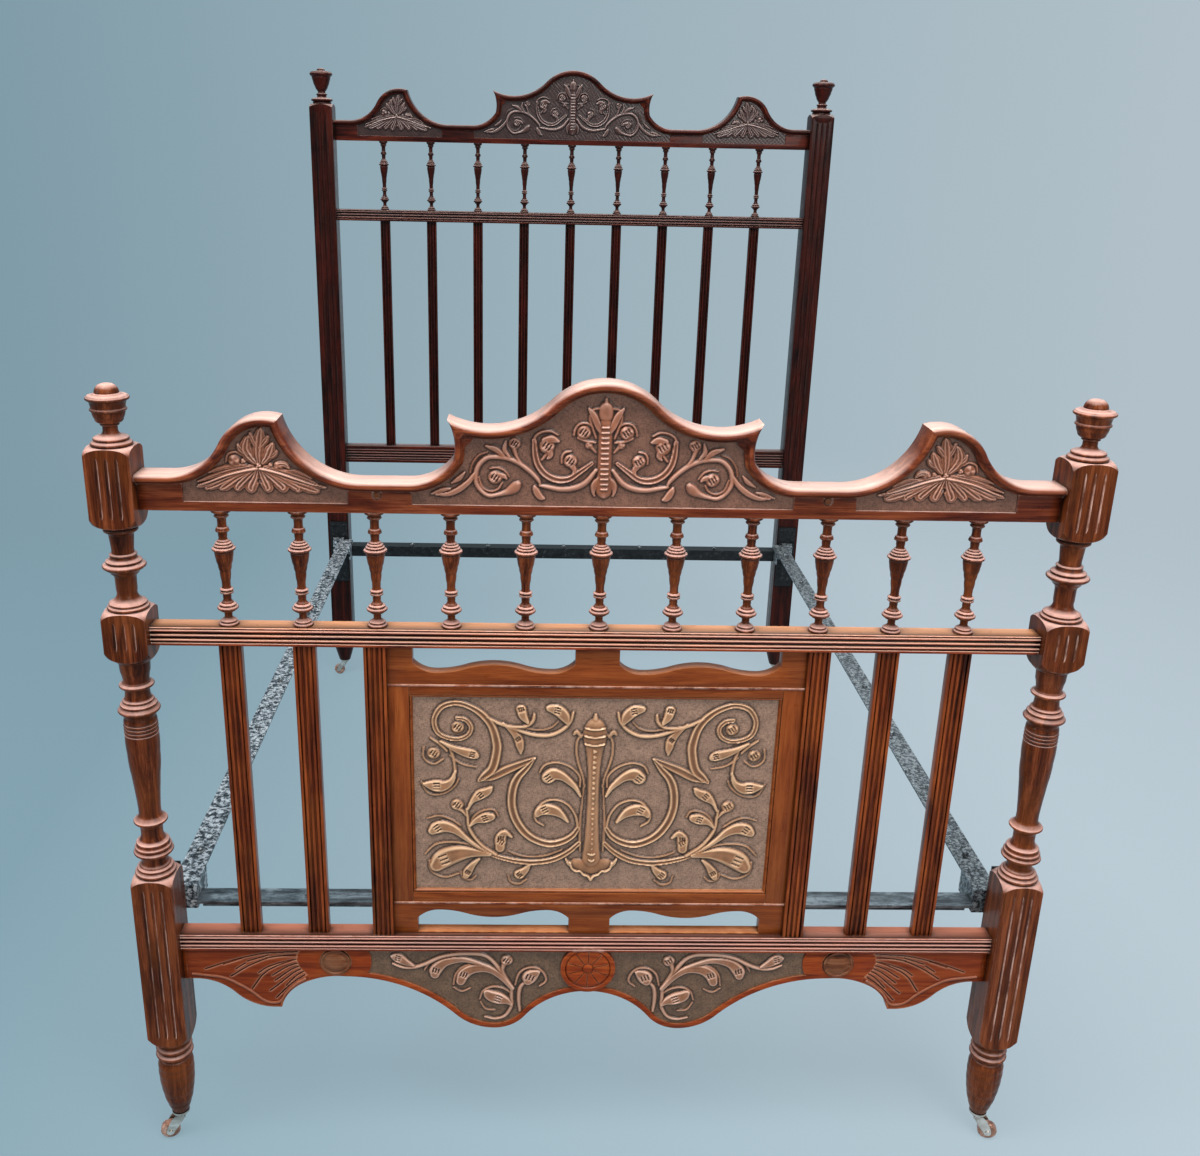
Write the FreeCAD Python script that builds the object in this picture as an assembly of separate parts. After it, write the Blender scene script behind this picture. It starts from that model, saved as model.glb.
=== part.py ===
"""Carved double bedstead: two turned and panelled boards, loose irons between them, four castors.

Millimetres. +X is the bed's right seen from the foot, +Y runs from foot to head, +Z is up.
The origin is on the floor under the middle of the bed.
"""
import FreeCAD, Part
import math
import os

V = FreeCAD.Vector
UP = V(0, 0, 1)
ACROSS = V(1, 0, 0)
ALONG = V(0, 1, 0)
OUT_DIR = "parts"

# Whole bed
postSpacing = 1372.0
boardSpacing = 1896.0
footPostSide = 64.0
headPostSide = 62.0
cornerShare = 0.72
overrun = 5.0
tenonLength = 22.0
tenonThickShare = 0.34
tenonHeightShare = 0.66

# Castors
wheelRadius = 16.0
wheelWidth = 13.0
wheelCrown = 2.5
wheelTrail = 19.5
axleRadius = 2.4
axleHead = 1.6
bearingPlay = 0.08
forkPlay = 0.6
forkCheek = 3.2
forkEye = 6.2
crownRadius = 11.0
crownThickness = 4.0
stemRadius = 5.0
stemLength = 34.0
stemPlay = 0.06
crownGap = 0.4
cupRadius = 14.5
cupThickness = 3.6
forkRise = 46.0
forkBackShare = 0.62
forkBellyShare = 0.34
forkBackBendShare = 0.72
forkBellyBendShare = 0.60
castorTurn = 14.0

# Foot posts: square blocks, and turned work between them as shares of each stretch and of half the side
footBlockBottom = 205.0
lowBlockHead = 108.0
midBlockFoot = 19.0
midBlockHead = 24.0
topBlockFoot = 22.0
topBlockHead = 38.0
blockShoulders = (14.0, 9.0, 8.0)
shoulderDrop = 7.0
legShares = (
    (0.00, 0.37), (0.04, 0.53), (0.17, 0.73), (0.31, 0.82), (0.45, 0.88), (0.58, 0.91), (0.67, 0.90),
    (0.71, 0.76), (0.75, 0.75), (0.77, 0.85), (0.88, 0.85), (0.92, 0.75),
)
shaftShares = (
    (0.004, 0.80), (0.012, 0.92), (0.022, 0.92), (0.036, 0.80), (0.062, 0.55), (0.085, 0.55), (0.112, 0.91),
    (0.128, 0.91), (0.146, 0.82), (0.185, 0.57), (0.225, 0.56), (0.245, 0.75), (0.275, 0.74), (0.292, 0.57),
    (0.400, 0.59), (0.523, 0.69), (0.600, 0.77), (0.742, 0.77), (0.756, 0.95), (0.782, 0.92), (0.797, 0.79),
    (0.816, 0.66), (0.845, 0.53), (0.864, 0.74), (0.884, 0.74), (0.901, 0.53), (0.930, 0.56), (0.955, 0.70),
)
neckShares = (
    (0.016, 0.86), (0.040, 0.94), (0.065, 0.93), (0.110, 0.72), (0.223, 0.47), (0.362, 0.47), (0.470, 0.85),
    (0.530, 0.90), (0.570, 0.74), (0.630, 0.55), (0.700, 0.48), (0.820, 0.53), (0.885, 0.75), (0.930, 0.75),
)
fluteRadius = 4.0
fluteDepth = 2.3
fluteStep = 15.0
fluteMargin = 14.0
fluteCount = 3

# Finials, with profiles as shares of the height and of the rim's radius
finialRadius = 28.0
footFinialHeight = 86.0
headFinialHeight = 90.0
finialDowel = 8.0
finialDowelLength = 18.0
footFinialShares = (
    (0.00, 0.93), (0.06, 0.99), (0.11, 0.99), (0.14, 0.72), (0.19, 0.54), (0.28, 0.35), (0.34, 0.35),
    (0.42, 0.71), (0.56, 0.82), (0.67, 0.86), (0.72, 1.00), (0.84, 1.00), (0.90, 0.78), (0.985, 0.40),
    (1.00, 0.12),
)
headFinialShares = (
    (0.00, 0.86), (0.07, 0.93), (0.14, 0.93), (0.18, 0.60), (0.26, 0.37), (0.34, 0.38), (0.42, 0.52),
    (0.60, 0.74), (0.78, 0.88), (0.84, 1.00), (0.91, 1.00), (0.95, 0.50), (0.985, 0.22), (1.00, 0.10),
)

# Head posts
headPostHead = 40.0
headTaperTop = 150.0
headTaperTip = 17.0
headFluteBottom = 560.0

# Crest rails
crestRise = 191.5
crestBoard = 26.0
capDepth = 50.0
capThickness = 8.5
capChamfer = 2.6
crestEndRise = 53.0
wingStartShare = 0.9327
wingPeakShare = 0.7232
wingPeakRise = 137.0
wingCuspShare = 0.6911
valleyRise = 46.5
valleyOuterShare = 0.5199
valleyInnerShare = 0.4205
valleyCurveShare = 0.1177
earRootShare = 0.3226
earShare = 0.3349
earSwell = 5.5
earDipShare = 0.2492
earDipRise = 124.5
crestLowShare = 0.55
panelSink = 3.0
panelFoot = 14.0
wingPanelShares = (0.5505, 0.9021)
centrePanelShare = 0.4128

# Reeded rails and bars
reedRise = 2.2
reedQuirk = 1.2
railDepth = 34.0
midRailHeight = 29.0
bottomRail = 387.0
bottomRailHeight = 29.0
headMidRailHeight = 30.0
headLowRail = 702.0
headLowRailHeight = 51.0
railReeds = 3
railMargin = 2.4
headLowMargin = 11.0
footSlatLength = 502.0
footSpindleLength = 176.0
headSlatLength = 647.0
headSpindleLength = 182.0

# Apron, with its outline's heights below the bottom rail
apronDepth = 22.0
apronEnd = 58.0
fanShoulder = 18.0
fanLowX = 510.0
fanLow = 113.5
fanToeX = 500.0
fanHeelX = 462.0
fanHeel = 66.0
fanHollow = 5.0
archX = 395.0
archRise = 53.0
dropX = 152.0
dropLow = 154.0
centreArch = 80.0
fanHighShare = 0.5
archHighShare = 0.74
centreHighShare = 0.67
apronSink = 3.0
apronRim = 9.0
roundelX = 409.0
roundelRadius = 23.0
roundelGap = 1.0
roundelRise = 4.0
rosetteDrop = 34.0
rosetteRadius = 45.0
rosetteRise = 4.0
rosetteDish = 34.0
carvedInnerX = 352.0

# Slats, uprights and spindles
footSlatWidth = 33.0
footSlatDepth = 17.0
headSlatWidth = 27.0
headSlatDepth = 15.0
slatReeds = 3
slatMargin = 3.6
footSpindleCount = 11
headSpindleCount = 9
footSpindleStepShare = 0.0829
headSpindleStepShare = 0.0996
footSlatShares = (4, 5)
uprightShare = 0.5046
uprightDepth = 27.0
footSpindleBead = 15.6
headSpindleBead = 12.6
spindleShares = (
    (0.000, 0.88), (0.035, 0.84), (0.085, 0.38), (0.115, 0.40), (0.145, 0.96), (0.170, 0.94), (0.195, 0.70),
    (0.240, 0.42), (0.285, 0.42), (0.300, 0.60), (0.335, 0.58), (0.355, 0.42), (0.420, 0.44), (0.530, 0.63),
    (0.630, 0.84), (0.650, 0.86), (0.662, 1.00), (0.684, 0.98), (0.697, 0.80), (0.730, 0.55), (0.775, 0.38),
    (0.800, 0.56), (0.825, 0.55), (0.850, 0.37), (0.900, 0.50), (0.935, 0.56), (1.000, 0.90),
)

# Framed panel
frameDepth = 20.0
frameBack = 6.0
stileWidth = 32.0
frameFoot = 76.0
frameHead = 80.0
panelThickness = 9.0
panelTongue = 6.0
tongueThickness = 5.0
tonguePlay = 0.3
scallopEnd = 6.5
scallopInnerX = 33.0
scallopCorner = 35.0
scallopDepth = 43.5
scallopDip = 30.0
scallopSpring = 28.0
scallopSwell = 4.6
scallopShare = 0.5

# Irons
ironTop = 467.0
ironInset = 46.0
ironFlange = 40.0
ironWeb = 38.0
ironThickness = 4.5
footCrossDrop = 26.0
headCrossDrop = 10.0
crossFlange = 38.0
crossWeb = 32.0
footCrossGap = 7.0
headCrossGap = 7.0
cleatLength = 64.0
cleatThickness = 4.5
bracketWidth = 52.0
bracketHeight = 190.0
bracketRise = 53.0
bracketThickness = 4.0
bracketInset = 2.0
socketWidth = 40.0
socketHeight = 62.0
socketDepth = 13.0
lugTopWidth = 30.0
lugBottomWidth = 22.0
lugFlare = 3.0
lugHeight = 46.0
lugPlay = 0.3
lugBlock = 10.0
lugDrop = 43.0
studRadius = 5.0
studHeight = 7.0
studCount = 8
studInset = 118.0
crossStudCount = 5
crossStudInset = 180.0

halfSpacing = postSpacing / 2
# the bed is centred on its outer faces, which belong to posts of two sizes
footY = -boardSpacing / 2 + (footPostSide - headPostSide) / 4
headY = footY + boardSpacing
footInnerX = halfSpacing - footPostSide / 2
headInnerX = halfSpacing - headPostSide / 2
footHeight = forkRise + crownThickness + crownGap + cupThickness
footRailTop = bottomRail + bottomRailHeight
footMidRail = footRailTop + footSlatLength
footMidTop = footMidRail + midRailHeight
footCrestBottom = footMidTop + footSpindleLength
headLowTop = headLowRail + headLowRailHeight
headMidRail = headLowTop + headSlatLength
headMidTop = headMidRail + headMidRailHeight
headCrestBottom = headMidTop + headSpindleLength
footBlocks = (
    (footBlockBottom, footRailTop + lowBlockHead),
    (footMidRail - midBlockFoot, footMidTop + midBlockHead),
    (footCrestBottom - topBlockFoot, footCrestBottom + crestEndRise + topBlockHead),
)
headPostTop = headCrestBottom + crestEndRise + headPostHead
footSpindleStep = 2 * footInnerX * footSpindleStepShare
headSpindleStep = 2 * headInnerX * headSpindleStepShare
uprightX = footInnerX * uprightShare
panelX = uprightX - footSlatWidth / 2 - stileWidth
panelBottom = footRailTop + frameFoot
panelTop = footMidRail - frameHead
ironInnerX = halfSpacing - ironInset
lugBottomZ = ironTop - lugDrop
SIDES = (("left", -1), ("right", 1))


def save(name, *solids):
    """Write one node as a STEP file."""
    shape = solids[0] if len(solids) == 1 else Part.makeCompound(list(solids))
    shape.exportStep(os.path.join(OUT_DIR, name + ".step"))
    print(name, len(shape.Solids), round(shape.Volume / 1000.0, 1), "cm3", shape.isValid())


def box(x0, x1, y0, y1, z0, z1):
    """Box between two corners."""
    return Part.makeBox(x1 - x0, y1 - y0, z1 - z0, V(x0, y0, z0))


def polygonFace(points):
    return Part.Face(Part.makePolygon(list(points) + [points[0]]))


def turned(profile, bottom, axisX, axisY):
    """Solid of revolution: profile is a list of (height above bottom, radius)."""
    points = [V(0, 0, profile[0][0])]
    points += [V(radius, 0, height) for height, radius in profile]
    points.append(V(0, 0, profile[-1][0]))
    solid = polygonFace(points).revolve(V(0, 0, 0), UP, 360)
    solid.translate(V(axisX, axisY, bottom))
    return solid


def arc(p, q, r):
    """Arc through three (x, z) places."""
    return Part.Arc(V(p[0], 0, p[1]), V(q[0], 0, q[1]), V(r[0], 0, r[1])).toShape()


def line(p, q):
    return Part.makeLine(V(p[0], 0, p[1]), V(q[0], 0, q[1]))


def circleAt(centre, start, end):
    """Arc about a centre from start to end, the short way round."""
    radius = math.hypot(start[0] - centre[0], start[1] - centre[1])
    middle = ((start[0] + end[0]) / 2 - centre[0], (start[1] + end[1]) / 2 - centre[1])
    reach = radius / math.hypot(*middle)
    return arc(start, (centre[0] + middle[0] * reach, centre[1] + middle[1] * reach), end)


def ogee(low, high, lowShare):
    """Two arcs that meet in one slope, level at both ends. Returns edges and the upper centre."""
    across = high[0] - low[0]
    rise = high[1] - low[1]
    both = (across ** 2 + rise ** 2) / (2 * rise)
    lowCentre = (low[0], low[1] + both * lowShare)
    highCentre = (high[0], high[1] - both * (1 - lowShare))
    meet = (low[0] + across * lowShare, low[1] + rise * lowShare)
    edges = [circleAt(lowCentre, low, meet), circleAt(highCentre, meet, high)]
    return edges, lowCentre, highCentre


def onCircle(centre, radius, x, sign):
    """Place on a circle at a given x, on its upper (+1) or lower (-1) half."""
    return (x, centre[1] + sign * math.sqrt(radius ** 2 - (x - centre[0]) ** 2))


def mirrored(edges):
    """The edges and their mirror images across the middle of the bed."""
    return edges + [edge.mirror(V(0, 0, 0), ACROSS) for edge in edges]


def closedFace(edges):
    return Part.Face(Part.Wire(Part.__sortEdges__(edges)))


def slab(face, y0, y1, z=0):
    """A face drawn at y = 0, made into a board from y0 to y1 and lifted by z."""
    solid = face.extrude(V(0, y1 - y0, 0))
    solid.translate(V(0, y0, z))
    return solid


def reededSection(width, depth, reeds, margin):
    """Bar section on X (width) and Y (depth), with convex reeds along its front, at -Y."""
    front = -depth / 2 + reedRise
    pitch = (width - 2 * margin + reedQuirk) / reeds
    edges = []
    here = (-width / 2, depth / 2)
    for place in ((-width / 2, front), (-width / 2 + margin, front)):
        edges.append(Part.makeLine(V(here[0], here[1], 0), V(place[0], place[1], 0)))
        here = place
    for reed in range(reeds):
        start = -width / 2 + margin + reed * pitch
        end = start + pitch - reedQuirk
        crown = V((start + end) / 2, -depth / 2, 0)
        edges.append(Part.Arc(V(start, front, 0), crown, V(end, front, 0)).toShape())
        stop = start + pitch if reed < reeds - 1 else width / 2
        edges.append(Part.makeLine(V(end, front, 0), V(stop, front, 0)))
    edges.append(Part.makeLine(V(width / 2, front, 0), V(width / 2, depth / 2, 0)))
    edges.append(Part.makeLine(V(width / 2, depth / 2, 0), V(-width / 2, depth / 2, 0)))
    return Part.Face(Part.Wire(Part.__sortEdges__(edges)))


def uprightBar(width, depth, reeds, margin, x, y, bottom, top):
    """Reeded bar that stands up, with its reeds towards the foot."""
    solid = reededSection(width, depth, reeds, margin).extrude(V(0, 0, top - bottom))
    solid.translate(V(x, y, bottom))
    return solid


def railBar(height, depth, reeds, margin, innerX, y, bottom):
    """Reeded rail between two posts, with a tenon at each end."""
    section = reededSection(height, depth, reeds, margin)
    section.rotate(V(0, 0, 0), ALONG, -90)
    solid = section.extrude(V(2 * innerX, 0, 0))
    solid.translate(V(-innerX, y, bottom + height / 2))
    return solid.fuse(railTenons(height, depth, innerX, y, bottom)).removeSplitter()


def railTenons(height, depth, innerX, y, bottom):
    """The two tongues of a rail, which also cut the posts' mortises."""
    thick = depth * tenonThickShare
    tall = height * tenonHeightShare
    low = bottom + (height - tall) / 2
    tongues = []
    for _, side in SIDES:
        near, far = sorted((side * innerX, side * (innerX + tenonLength)))
        tongues.append(box(near, far, y - thick / 2, y + thick / 2, low, low + tall))
    return tongues


def stretch(shares, bottom, height, radius):
    """Places (height, radius) along one stretch of turned work."""
    return [(bottom + height * rise, radius * reach) for rise, reach in shares]


def footPostProfile():
    """Heights from the floor and radii of a foot post; radii past the corner leave the square."""
    corner = footPostSide * cornerShare
    face = footPostSide / 2
    places = []
    bottom = footHeight
    stretches = zip(footBlocks, blockShoulders, (legShares, shaftShares, neckShares))
    for (low, high), shoulder, shares in stretches:
        places += stretch(shares, bottom, low - bottom, face)
        places += [(low, face), (low + shoulder, corner), (high - shoulderDrop, corner), (high, face)]
        bottom = high
    return places


def flutes(x, y, side, bottom, top):
    """Round-bottomed grooves that stop short of a block's ends, on its front face."""
    centreY = y - side / 2 - fluteRadius + fluteDepth
    first = x - fluteStep * (fluteCount - 1) / 2
    return [
        Part.makeCylinder(fluteRadius, top - bottom, V(first + number * fluteStep, centreY, bottom), UP)
        for number in range(fluteCount)
    ]


def footPost(side):
    x = side * halfSpacing
    half = footPostSide / 2
    top = footBlocks[-1][1]
    square = box(x - half, x + half, footY - half, footY + half, footHeight, top)
    post = turned(footPostProfile(), 0, x, footY).common(square)
    cuts = [Part.makeCylinder(stemRadius + stemPlay, stemLength, V(x, footY, footHeight), UP)]
    cuts.append(Part.makeCylinder(finialDowel, finialDowelLength, V(x, footY, top - finialDowelLength), UP))
    for low, high in footBlocks:
        margin = fluteMargin + shoulderDrop
        cuts += flutes(x, footY, footPostSide, low + margin, high - margin)
    cuts += railTenons(crestTenonHeight(), crestBoard, footInnerX, footY, footCrestBottom)
    cuts += railTenons(midRailHeight, railDepth, footInnerX, footY, footMidRail)
    cuts += railTenons(bottomRailHeight, railDepth, footInnerX, footY, bottomRail)
    return post.cut(cuts)


def headPost(side):
    x = side * halfSpacing
    half = headPostSide / 2
    corner = headPostSide * cornerShare
    square = box(x - half, x + half, headY - half, headY + half, footHeight, headPostTop)
    profile = [
        (footHeight, headTaperTip), (headTaperTop, corner), (headPostTop - shoulderDrop, corner),
        (headPostTop, half),
    ]
    post = turned(profile, 0, x, headY).common(square)
    cuts = [Part.makeCylinder(stemRadius + stemPlay, stemLength, V(x, headY, footHeight), UP)]
    dowelFoot = V(x, headY, headPostTop - finialDowelLength)
    cuts.append(Part.makeCylinder(finialDowel, finialDowelLength, dowelFoot, UP))
    cuts += flutes(x, headY, headPostSide, headFluteBottom, headPostTop - fluteMargin - shoulderDrop)
    cuts += railTenons(crestTenonHeight(), crestBoard, headInnerX, headY, headCrestBottom)
    cuts += railTenons(headMidRailHeight, railDepth, headInnerX, headY, headMidRail)
    cuts += railTenons(headLowRailHeight, railDepth, headInnerX, headY, headLowRail)
    return post.cut(cuts)


def finial(side, y, bottom, height, shares):
    """Turned urn: ringed foot, neck, cup, wide rim and low dome, with a dowel into the post."""
    profile = [(-finialDowelLength, finialDowel), (0, finialDowel)] + stretch(shares, 0, height, finialRadius)
    return turned(profile, bottom, side * halfSpacing, y)


def crestTenonHeight():
    return crestEndRise - capThickness


def crestFace(innerX, overlap):
    """Crest outline about its bottom edge, drawn past both ends and the bottom by an overlap."""
    ends = innerX + overlap
    wingX, peakX, wingCuspX = (innerX * share for share in (wingStartShare, wingPeakShare, wingCuspShare))
    valleyOuterX = innerX * valleyOuterShare
    valleyInnerX = innerX * valleyInnerShare
    valleyInnerRadius = innerX * valleyCurveShare
    earRootX, earX, earDipX = (innerX * share for share in (earRootShare, earShare, earDipShare))
    wing, wingLow, wingHigh = ogee((-wingX, crestEndRise), (-peakX, wingPeakRise), crestLowShare)
    wingRadius = wingPeakRise - wingHigh[1]
    cusp = onCircle(wingHigh, wingRadius, -wingCuspX, 1)
    centre, earCircle, _ = ogee((-earDipX, earDipRise), (0, crestRise), crestLowShare)
    earTip = onCircle(earCircle, earCircle[1] - earDipRise, -earX, -1)
    drop = cusp[1] - valleyRise
    valleyRadius = ((valleyOuterX - wingCuspX) ** 2 + drop ** 2) / (2 * drop)
    valleyCentre = (-valleyOuterX, valleyRise + valleyRadius)
    innerCentre = (-valleyInnerX, valleyRise + valleyInnerRadius)
    earRoot = onCircle(innerCentre, valleyInnerRadius, -earRootX, -1)
    swell = (-(earRootX + earX) / 2 + earSwell, (earRoot[1] + earTip[1]) / 2)
    half = [
        line((-ends, -overlap), (-ends, crestEndRise)),
        line((-ends, crestEndRise), (-wingX, crestEndRise)),
        *wing,
        circleAt(wingHigh, (-peakX, wingPeakRise), cusp),
        circleAt(valleyCentre, cusp, (-valleyOuterX, valleyRise)),
        line((-valleyOuterX, valleyRise), (-valleyInnerX, valleyRise)),
        circleAt(innerCentre, (-valleyInnerX, valleyRise), earRoot),
        arc(earRoot, swell, earTip),
        circleAt(earCircle, earTip, (-earDipX, earDipRise)),
        *centre,
    ]
    return closedFace(mirrored(half) + [line((-ends, -overlap), (ends, -overlap))])


def nosing(face):
    """The outline as a thick edge with its front and back corners taken off."""
    small = face.makeOffset2D(-capChamfer, 2)
    wires = []
    half = capDepth / 2
    for shape, y in ((small, -half), (face, capChamfer - half), (face, half - capChamfer), (small, half)):
        wire = shape.OuterWire.copy()
        wire.translate(V(0, y, 0))
        wires.append(wire)
    return Part.makeLoft(wires, True, True)


def crestRail(innerX, y, bottom):
    """Shaped board with a chamfered cap along its top, sunk panels for the carving, and tenons."""
    outer = crestFace(innerX, capDepth)
    inner = outer.makeOffset2D(-capThickness, 2)
    window = box(-innerX, innerX, -capDepth, capDepth, 0, crestRise + overrun)
    cap = nosing(outer)
    core = slab(inner, -capDepth, capDepth)
    cap = cap.cut(core).common(window)
    board = slab(outer, -crestBoard / 2, crestBoard / 2).common(window)
    rail = board.fuse(cap)
    sinkY = -crestBoard / 2 + panelSink
    near, far = (innerX * share for share in wingPanelShares)
    middle = innerX * centrePanelShare
    for low, high in ((-far, -near), (-middle, middle), (near, far)):
        rail = rail.cut(core.common(box(low, high, -crestBoard, sinkY, panelFoot, crestRise)))
    rail.translate(V(0, y, bottom))
    tenons = railTenons(crestTenonHeight(), crestBoard, innerX, y, bottom)
    return rail.fuse(tenons).removeSplitter()


def footApron():
    """Shaped board under the bottom rail: fans, roundels, carved drops and a rosette."""
    toe = (-fanToeX, -fanLow)
    heel = (-fanHeelX, -fanHeel)
    arch = (-archX, -archRise)
    shoulder = (fanShoulder - footInnerX, -apronEnd)
    hollow = ((toe[0] + heel[0]) / 2 - fanHollow, (toe[1] + heel[1]) / 2 + fanHollow)
    crown = ((heel[0] + arch[0]) / 2, (heel[1] + arch[1]) / 2 + fanHollow)
    half = [
        line((-footInnerX, 0), (-footInnerX, -apronEnd)),
        line((-footInnerX, -apronEnd), shoulder),
        *ogee((-fanLowX, -fanLow), shoulder, 1 - fanHighShare)[0],
        line((-fanLowX, -fanLow), toe),
        arc(toe, hollow, heel),
        arc(heel, crown, arch),
        *ogee((-dropX, -dropLow), arch, 1 - archHighShare)[0],
        *ogee((-dropX, -dropLow), (0, -centreArch), 1 - centreHighShare)[0],
    ]
    face = closedFace(mirrored(half) + [line((-footInnerX, 0), (footInnerX, 0))])
    front = footY - apronDepth / 2
    sunk = front + apronSink
    apron = slab(face, front, footY + apronDepth / 2)
    core = slab(face.makeOffset2D(-apronRim), front - overrun, sunk)
    field = core.common(box(-carvedInnerX, carvedInnerX, front - overrun, sunk, -dropLow, 0))
    centre = V(0, front - overrun, -rosetteDrop)
    field = field.cut(Part.makeCylinder(rosetteRadius, 2 * overrun, centre, ALONG))
    apron = apron.cut(field)
    for side in (-1, 1):
        centre = V(side * roundelX, front - roundelRise, -roundelGap - roundelRadius)
        apron = apron.fuse(Part.makeCylinder(roundelRadius, roundelRise, centre, ALONG))
    centre = V(0, front - rosetteRise, -rosetteDrop)
    flower = Part.makeCylinder(rosetteRadius, rosetteRise + apronSink, centre, ALONG)
    flower = flower.common(slab(face, front - rosetteRise, sunk))
    dish = Part.makeCylinder(rosetteDish, rosetteRise, centre, ALONG)
    apron = apron.fuse(flower).cut(dish).removeSplitter()
    apron.translate(V(0, 0, bottomRail))
    return apron


def spindle(x, y, bottom, top, bead):
    """Turned spindle: flared ends, a stack of rings, a vase and a foot bead."""
    return turned(stretch(spindleShares, 0, top - bottom, bead), bottom, x, y)


def row(count, step):
    """Evenly spaced places about the middle."""
    return [(number - (count - 1) / 2) * step for number in range(count)]


def scallop(side, railZ, way):
    """Opening under (way -1) or over (+1) a rail, closed by a wave with rounded corners."""
    inner = side * scallopInnerX
    outer = side * (panelX - scallopEnd)
    spring = railZ + way * scallopSpring
    depth = railZ + way * scallopDepth
    middle = ((outer + inner) / 2, railZ + way * scallopDip)
    rail = railZ - way * overrun
    edges = [
        line((inner, rail), (outer, rail)),
        line((outer, rail), (outer, spring)),
        line((inner, spring), (inner, rail)),
    ]
    for end, corner in ((outer, outer - side * scallopCorner), (inner, inner + side * scallopCorner)):
        bulge = ((end + corner) / 2, (spring + depth) / 2 + way * scallopSwell)
        edges.append(arc((end, spring), bulge, (corner, depth)))
        low, high = sorted(((corner, depth), middle), key=lambda place: place[1])
        edges += ogee(low, high, scallopShare)[0]
    front = footY - frameBack - overrun
    return slab(closedFace(edges), front, front + frameDepth + 2 * overrun)


def panelRails():
    """Top and bottom rails of the framed panel, each with two shaped openings."""
    front = footY - frameBack
    upper = box(-panelX, panelX, front, front + frameDepth, panelTop, footMidRail)
    lower = box(-panelX, panelX, front, front + frameDepth, footRailTop, panelBottom)
    groove = panelBlank(tonguePlay)
    upper = upper.cut([scallop(side, footMidRail, -1) for side in (-1, 1)] + [groove])
    lower = lower.cut([scallop(side, footRailTop, 1) for side in (-1, 1)] + [groove])
    return upper, lower


def panelBlank(play):
    """The panel and its tongue; with play it cuts the frame's grooves."""
    middle = footY - frameBack + frameDepth / 2
    reach = panelTongue + play
    half = tongueThickness / 2 + play
    front = middle - panelThickness / 2
    field = box(-panelX, panelX, front, front + panelThickness, panelBottom, panelTop)
    tongue = box(-panelX - reach, panelX + reach, middle - half, middle + half,
                 panelBottom - reach, panelTop + reach)
    return field.fuse(tongue).removeSplitter()


def stile(side):
    low, high = sorted((side * (panelX + stileWidth), side * panelX))
    front = footY - frameBack
    solid = box(low, high, front, front + frameDepth, footRailTop, footMidRail)
    return solid.cut(panelBlank(tonguePlay))


def lug(x, faceY, direction, play):
    """Wedge on an iron's end that drops into its socket: narrower below and wider towards the post."""
    wires = []
    for z, width in ((lugBottomZ, lugBottomWidth), (lugBottomZ + lugHeight, lugTopWidth)):
        near = width / 2 + play
        far = near + lugFlare
        endY = faceY + direction * (socketDepth - bracketThickness + play)
        wires.append(Part.makePolygon([
            V(x - near, endY, z), V(x + near, endY, z), V(x + far, faceY, z), V(x - far, faceY, z),
            V(x - near, endY, z),
        ]))
    return Part.makeLoft(wires, True, True)


def bracket(side, postFace, direction):
    """Plate screwed to a post, with a tapered socket for the iron's end."""
    x = side * (halfSpacing - bracketInset)
    ys = sorted((postFace, postFace + direction * bracketThickness))
    top = ironTop + bracketRise
    plate = box(x - bracketWidth / 2, x + bracketWidth / 2, ys[0], ys[1], top - bracketHeight, top)
    ys = sorted((postFace, postFace + direction * socketDepth))
    boss = box(x - socketWidth / 2 - lugFlare, x + socketWidth / 2 + lugFlare, ys[0], ys[1],
               lugBottomZ - (socketHeight - lugHeight), lugBottomZ + lugHeight)
    seat = lug(x, postFace + direction * bracketThickness, direction, lugPlay)
    return plate.fuse(boss).cut(seat).removeSplitter()


def sideIron(side):
    """Angle iron with a cast wedge at each end and a cleat for each cross iron."""
    inner = side * ironInnerX
    outer = side * (ironInnerX + ironFlange)
    web = side * (ironInnerX + ironFlange - ironThickness)
    x = side * (halfSpacing - bracketInset)
    faces = ((footY + footPostSide / 2, 1), (headY - headPostSide / 2, -1))
    starts = [face + direction * (socketDepth + lugPlay) for face, direction in faces]
    flat = sorted((inner, outer))
    iron = box(flat[0], flat[1], starts[0], starts[1], ironTop - ironThickness, ironTop)
    wall = sorted((web, outer))
    iron = iron.fuse(box(wall[0], wall[1], starts[0], starts[1], ironTop - ironWeb, ironTop))
    reach = sorted((inner, x + side * (lugTopWidth / 2)))
    cleat = sorted((inner, inner + side * cleatThickness))
    for (face, direction), start in zip(faces, starts):
        block = sorted((start, start + direction * lugBlock))
        iron = iron.fuse(box(reach[0], reach[1], block[0], block[1], lugBottomZ, ironTop))
        plate = face + direction * (bracketThickness + lugPlay)
        iron = iron.fuse(lug(x, plate, direction, 0))
        run = sorted((start, start + direction * cleatLength))
        iron = iron.fuse(box(cleat[0], cleat[1], run[0], run[1], ironTop - ironWeb - ironThickness, ironTop))
    return iron.removeSplitter()


def crossIron(top, frontY, webY):
    """Angle iron across the bed, between the cleats: a level flange and an upright web under one edge."""
    flat = box(-ironInnerX, ironInnerX, frontY, frontY + crossFlange, top - ironThickness, top)
    web = box(-ironInnerX, ironInnerX, webY, webY + ironThickness, top - crossWeb, top)
    return flat.fuse(web).removeSplitter()


def stud(x, y, z):
    return Part.makeCylinder(studRadius, studHeight, V(x, y, z), UP)


def castorFrame(x, y, turn):
    """Placement of a castor drawn trailing towards +X, turned about its stem."""
    return FreeCAD.Placement(V(x, y, 0), FreeCAD.Rotation(UP, turn))


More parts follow.
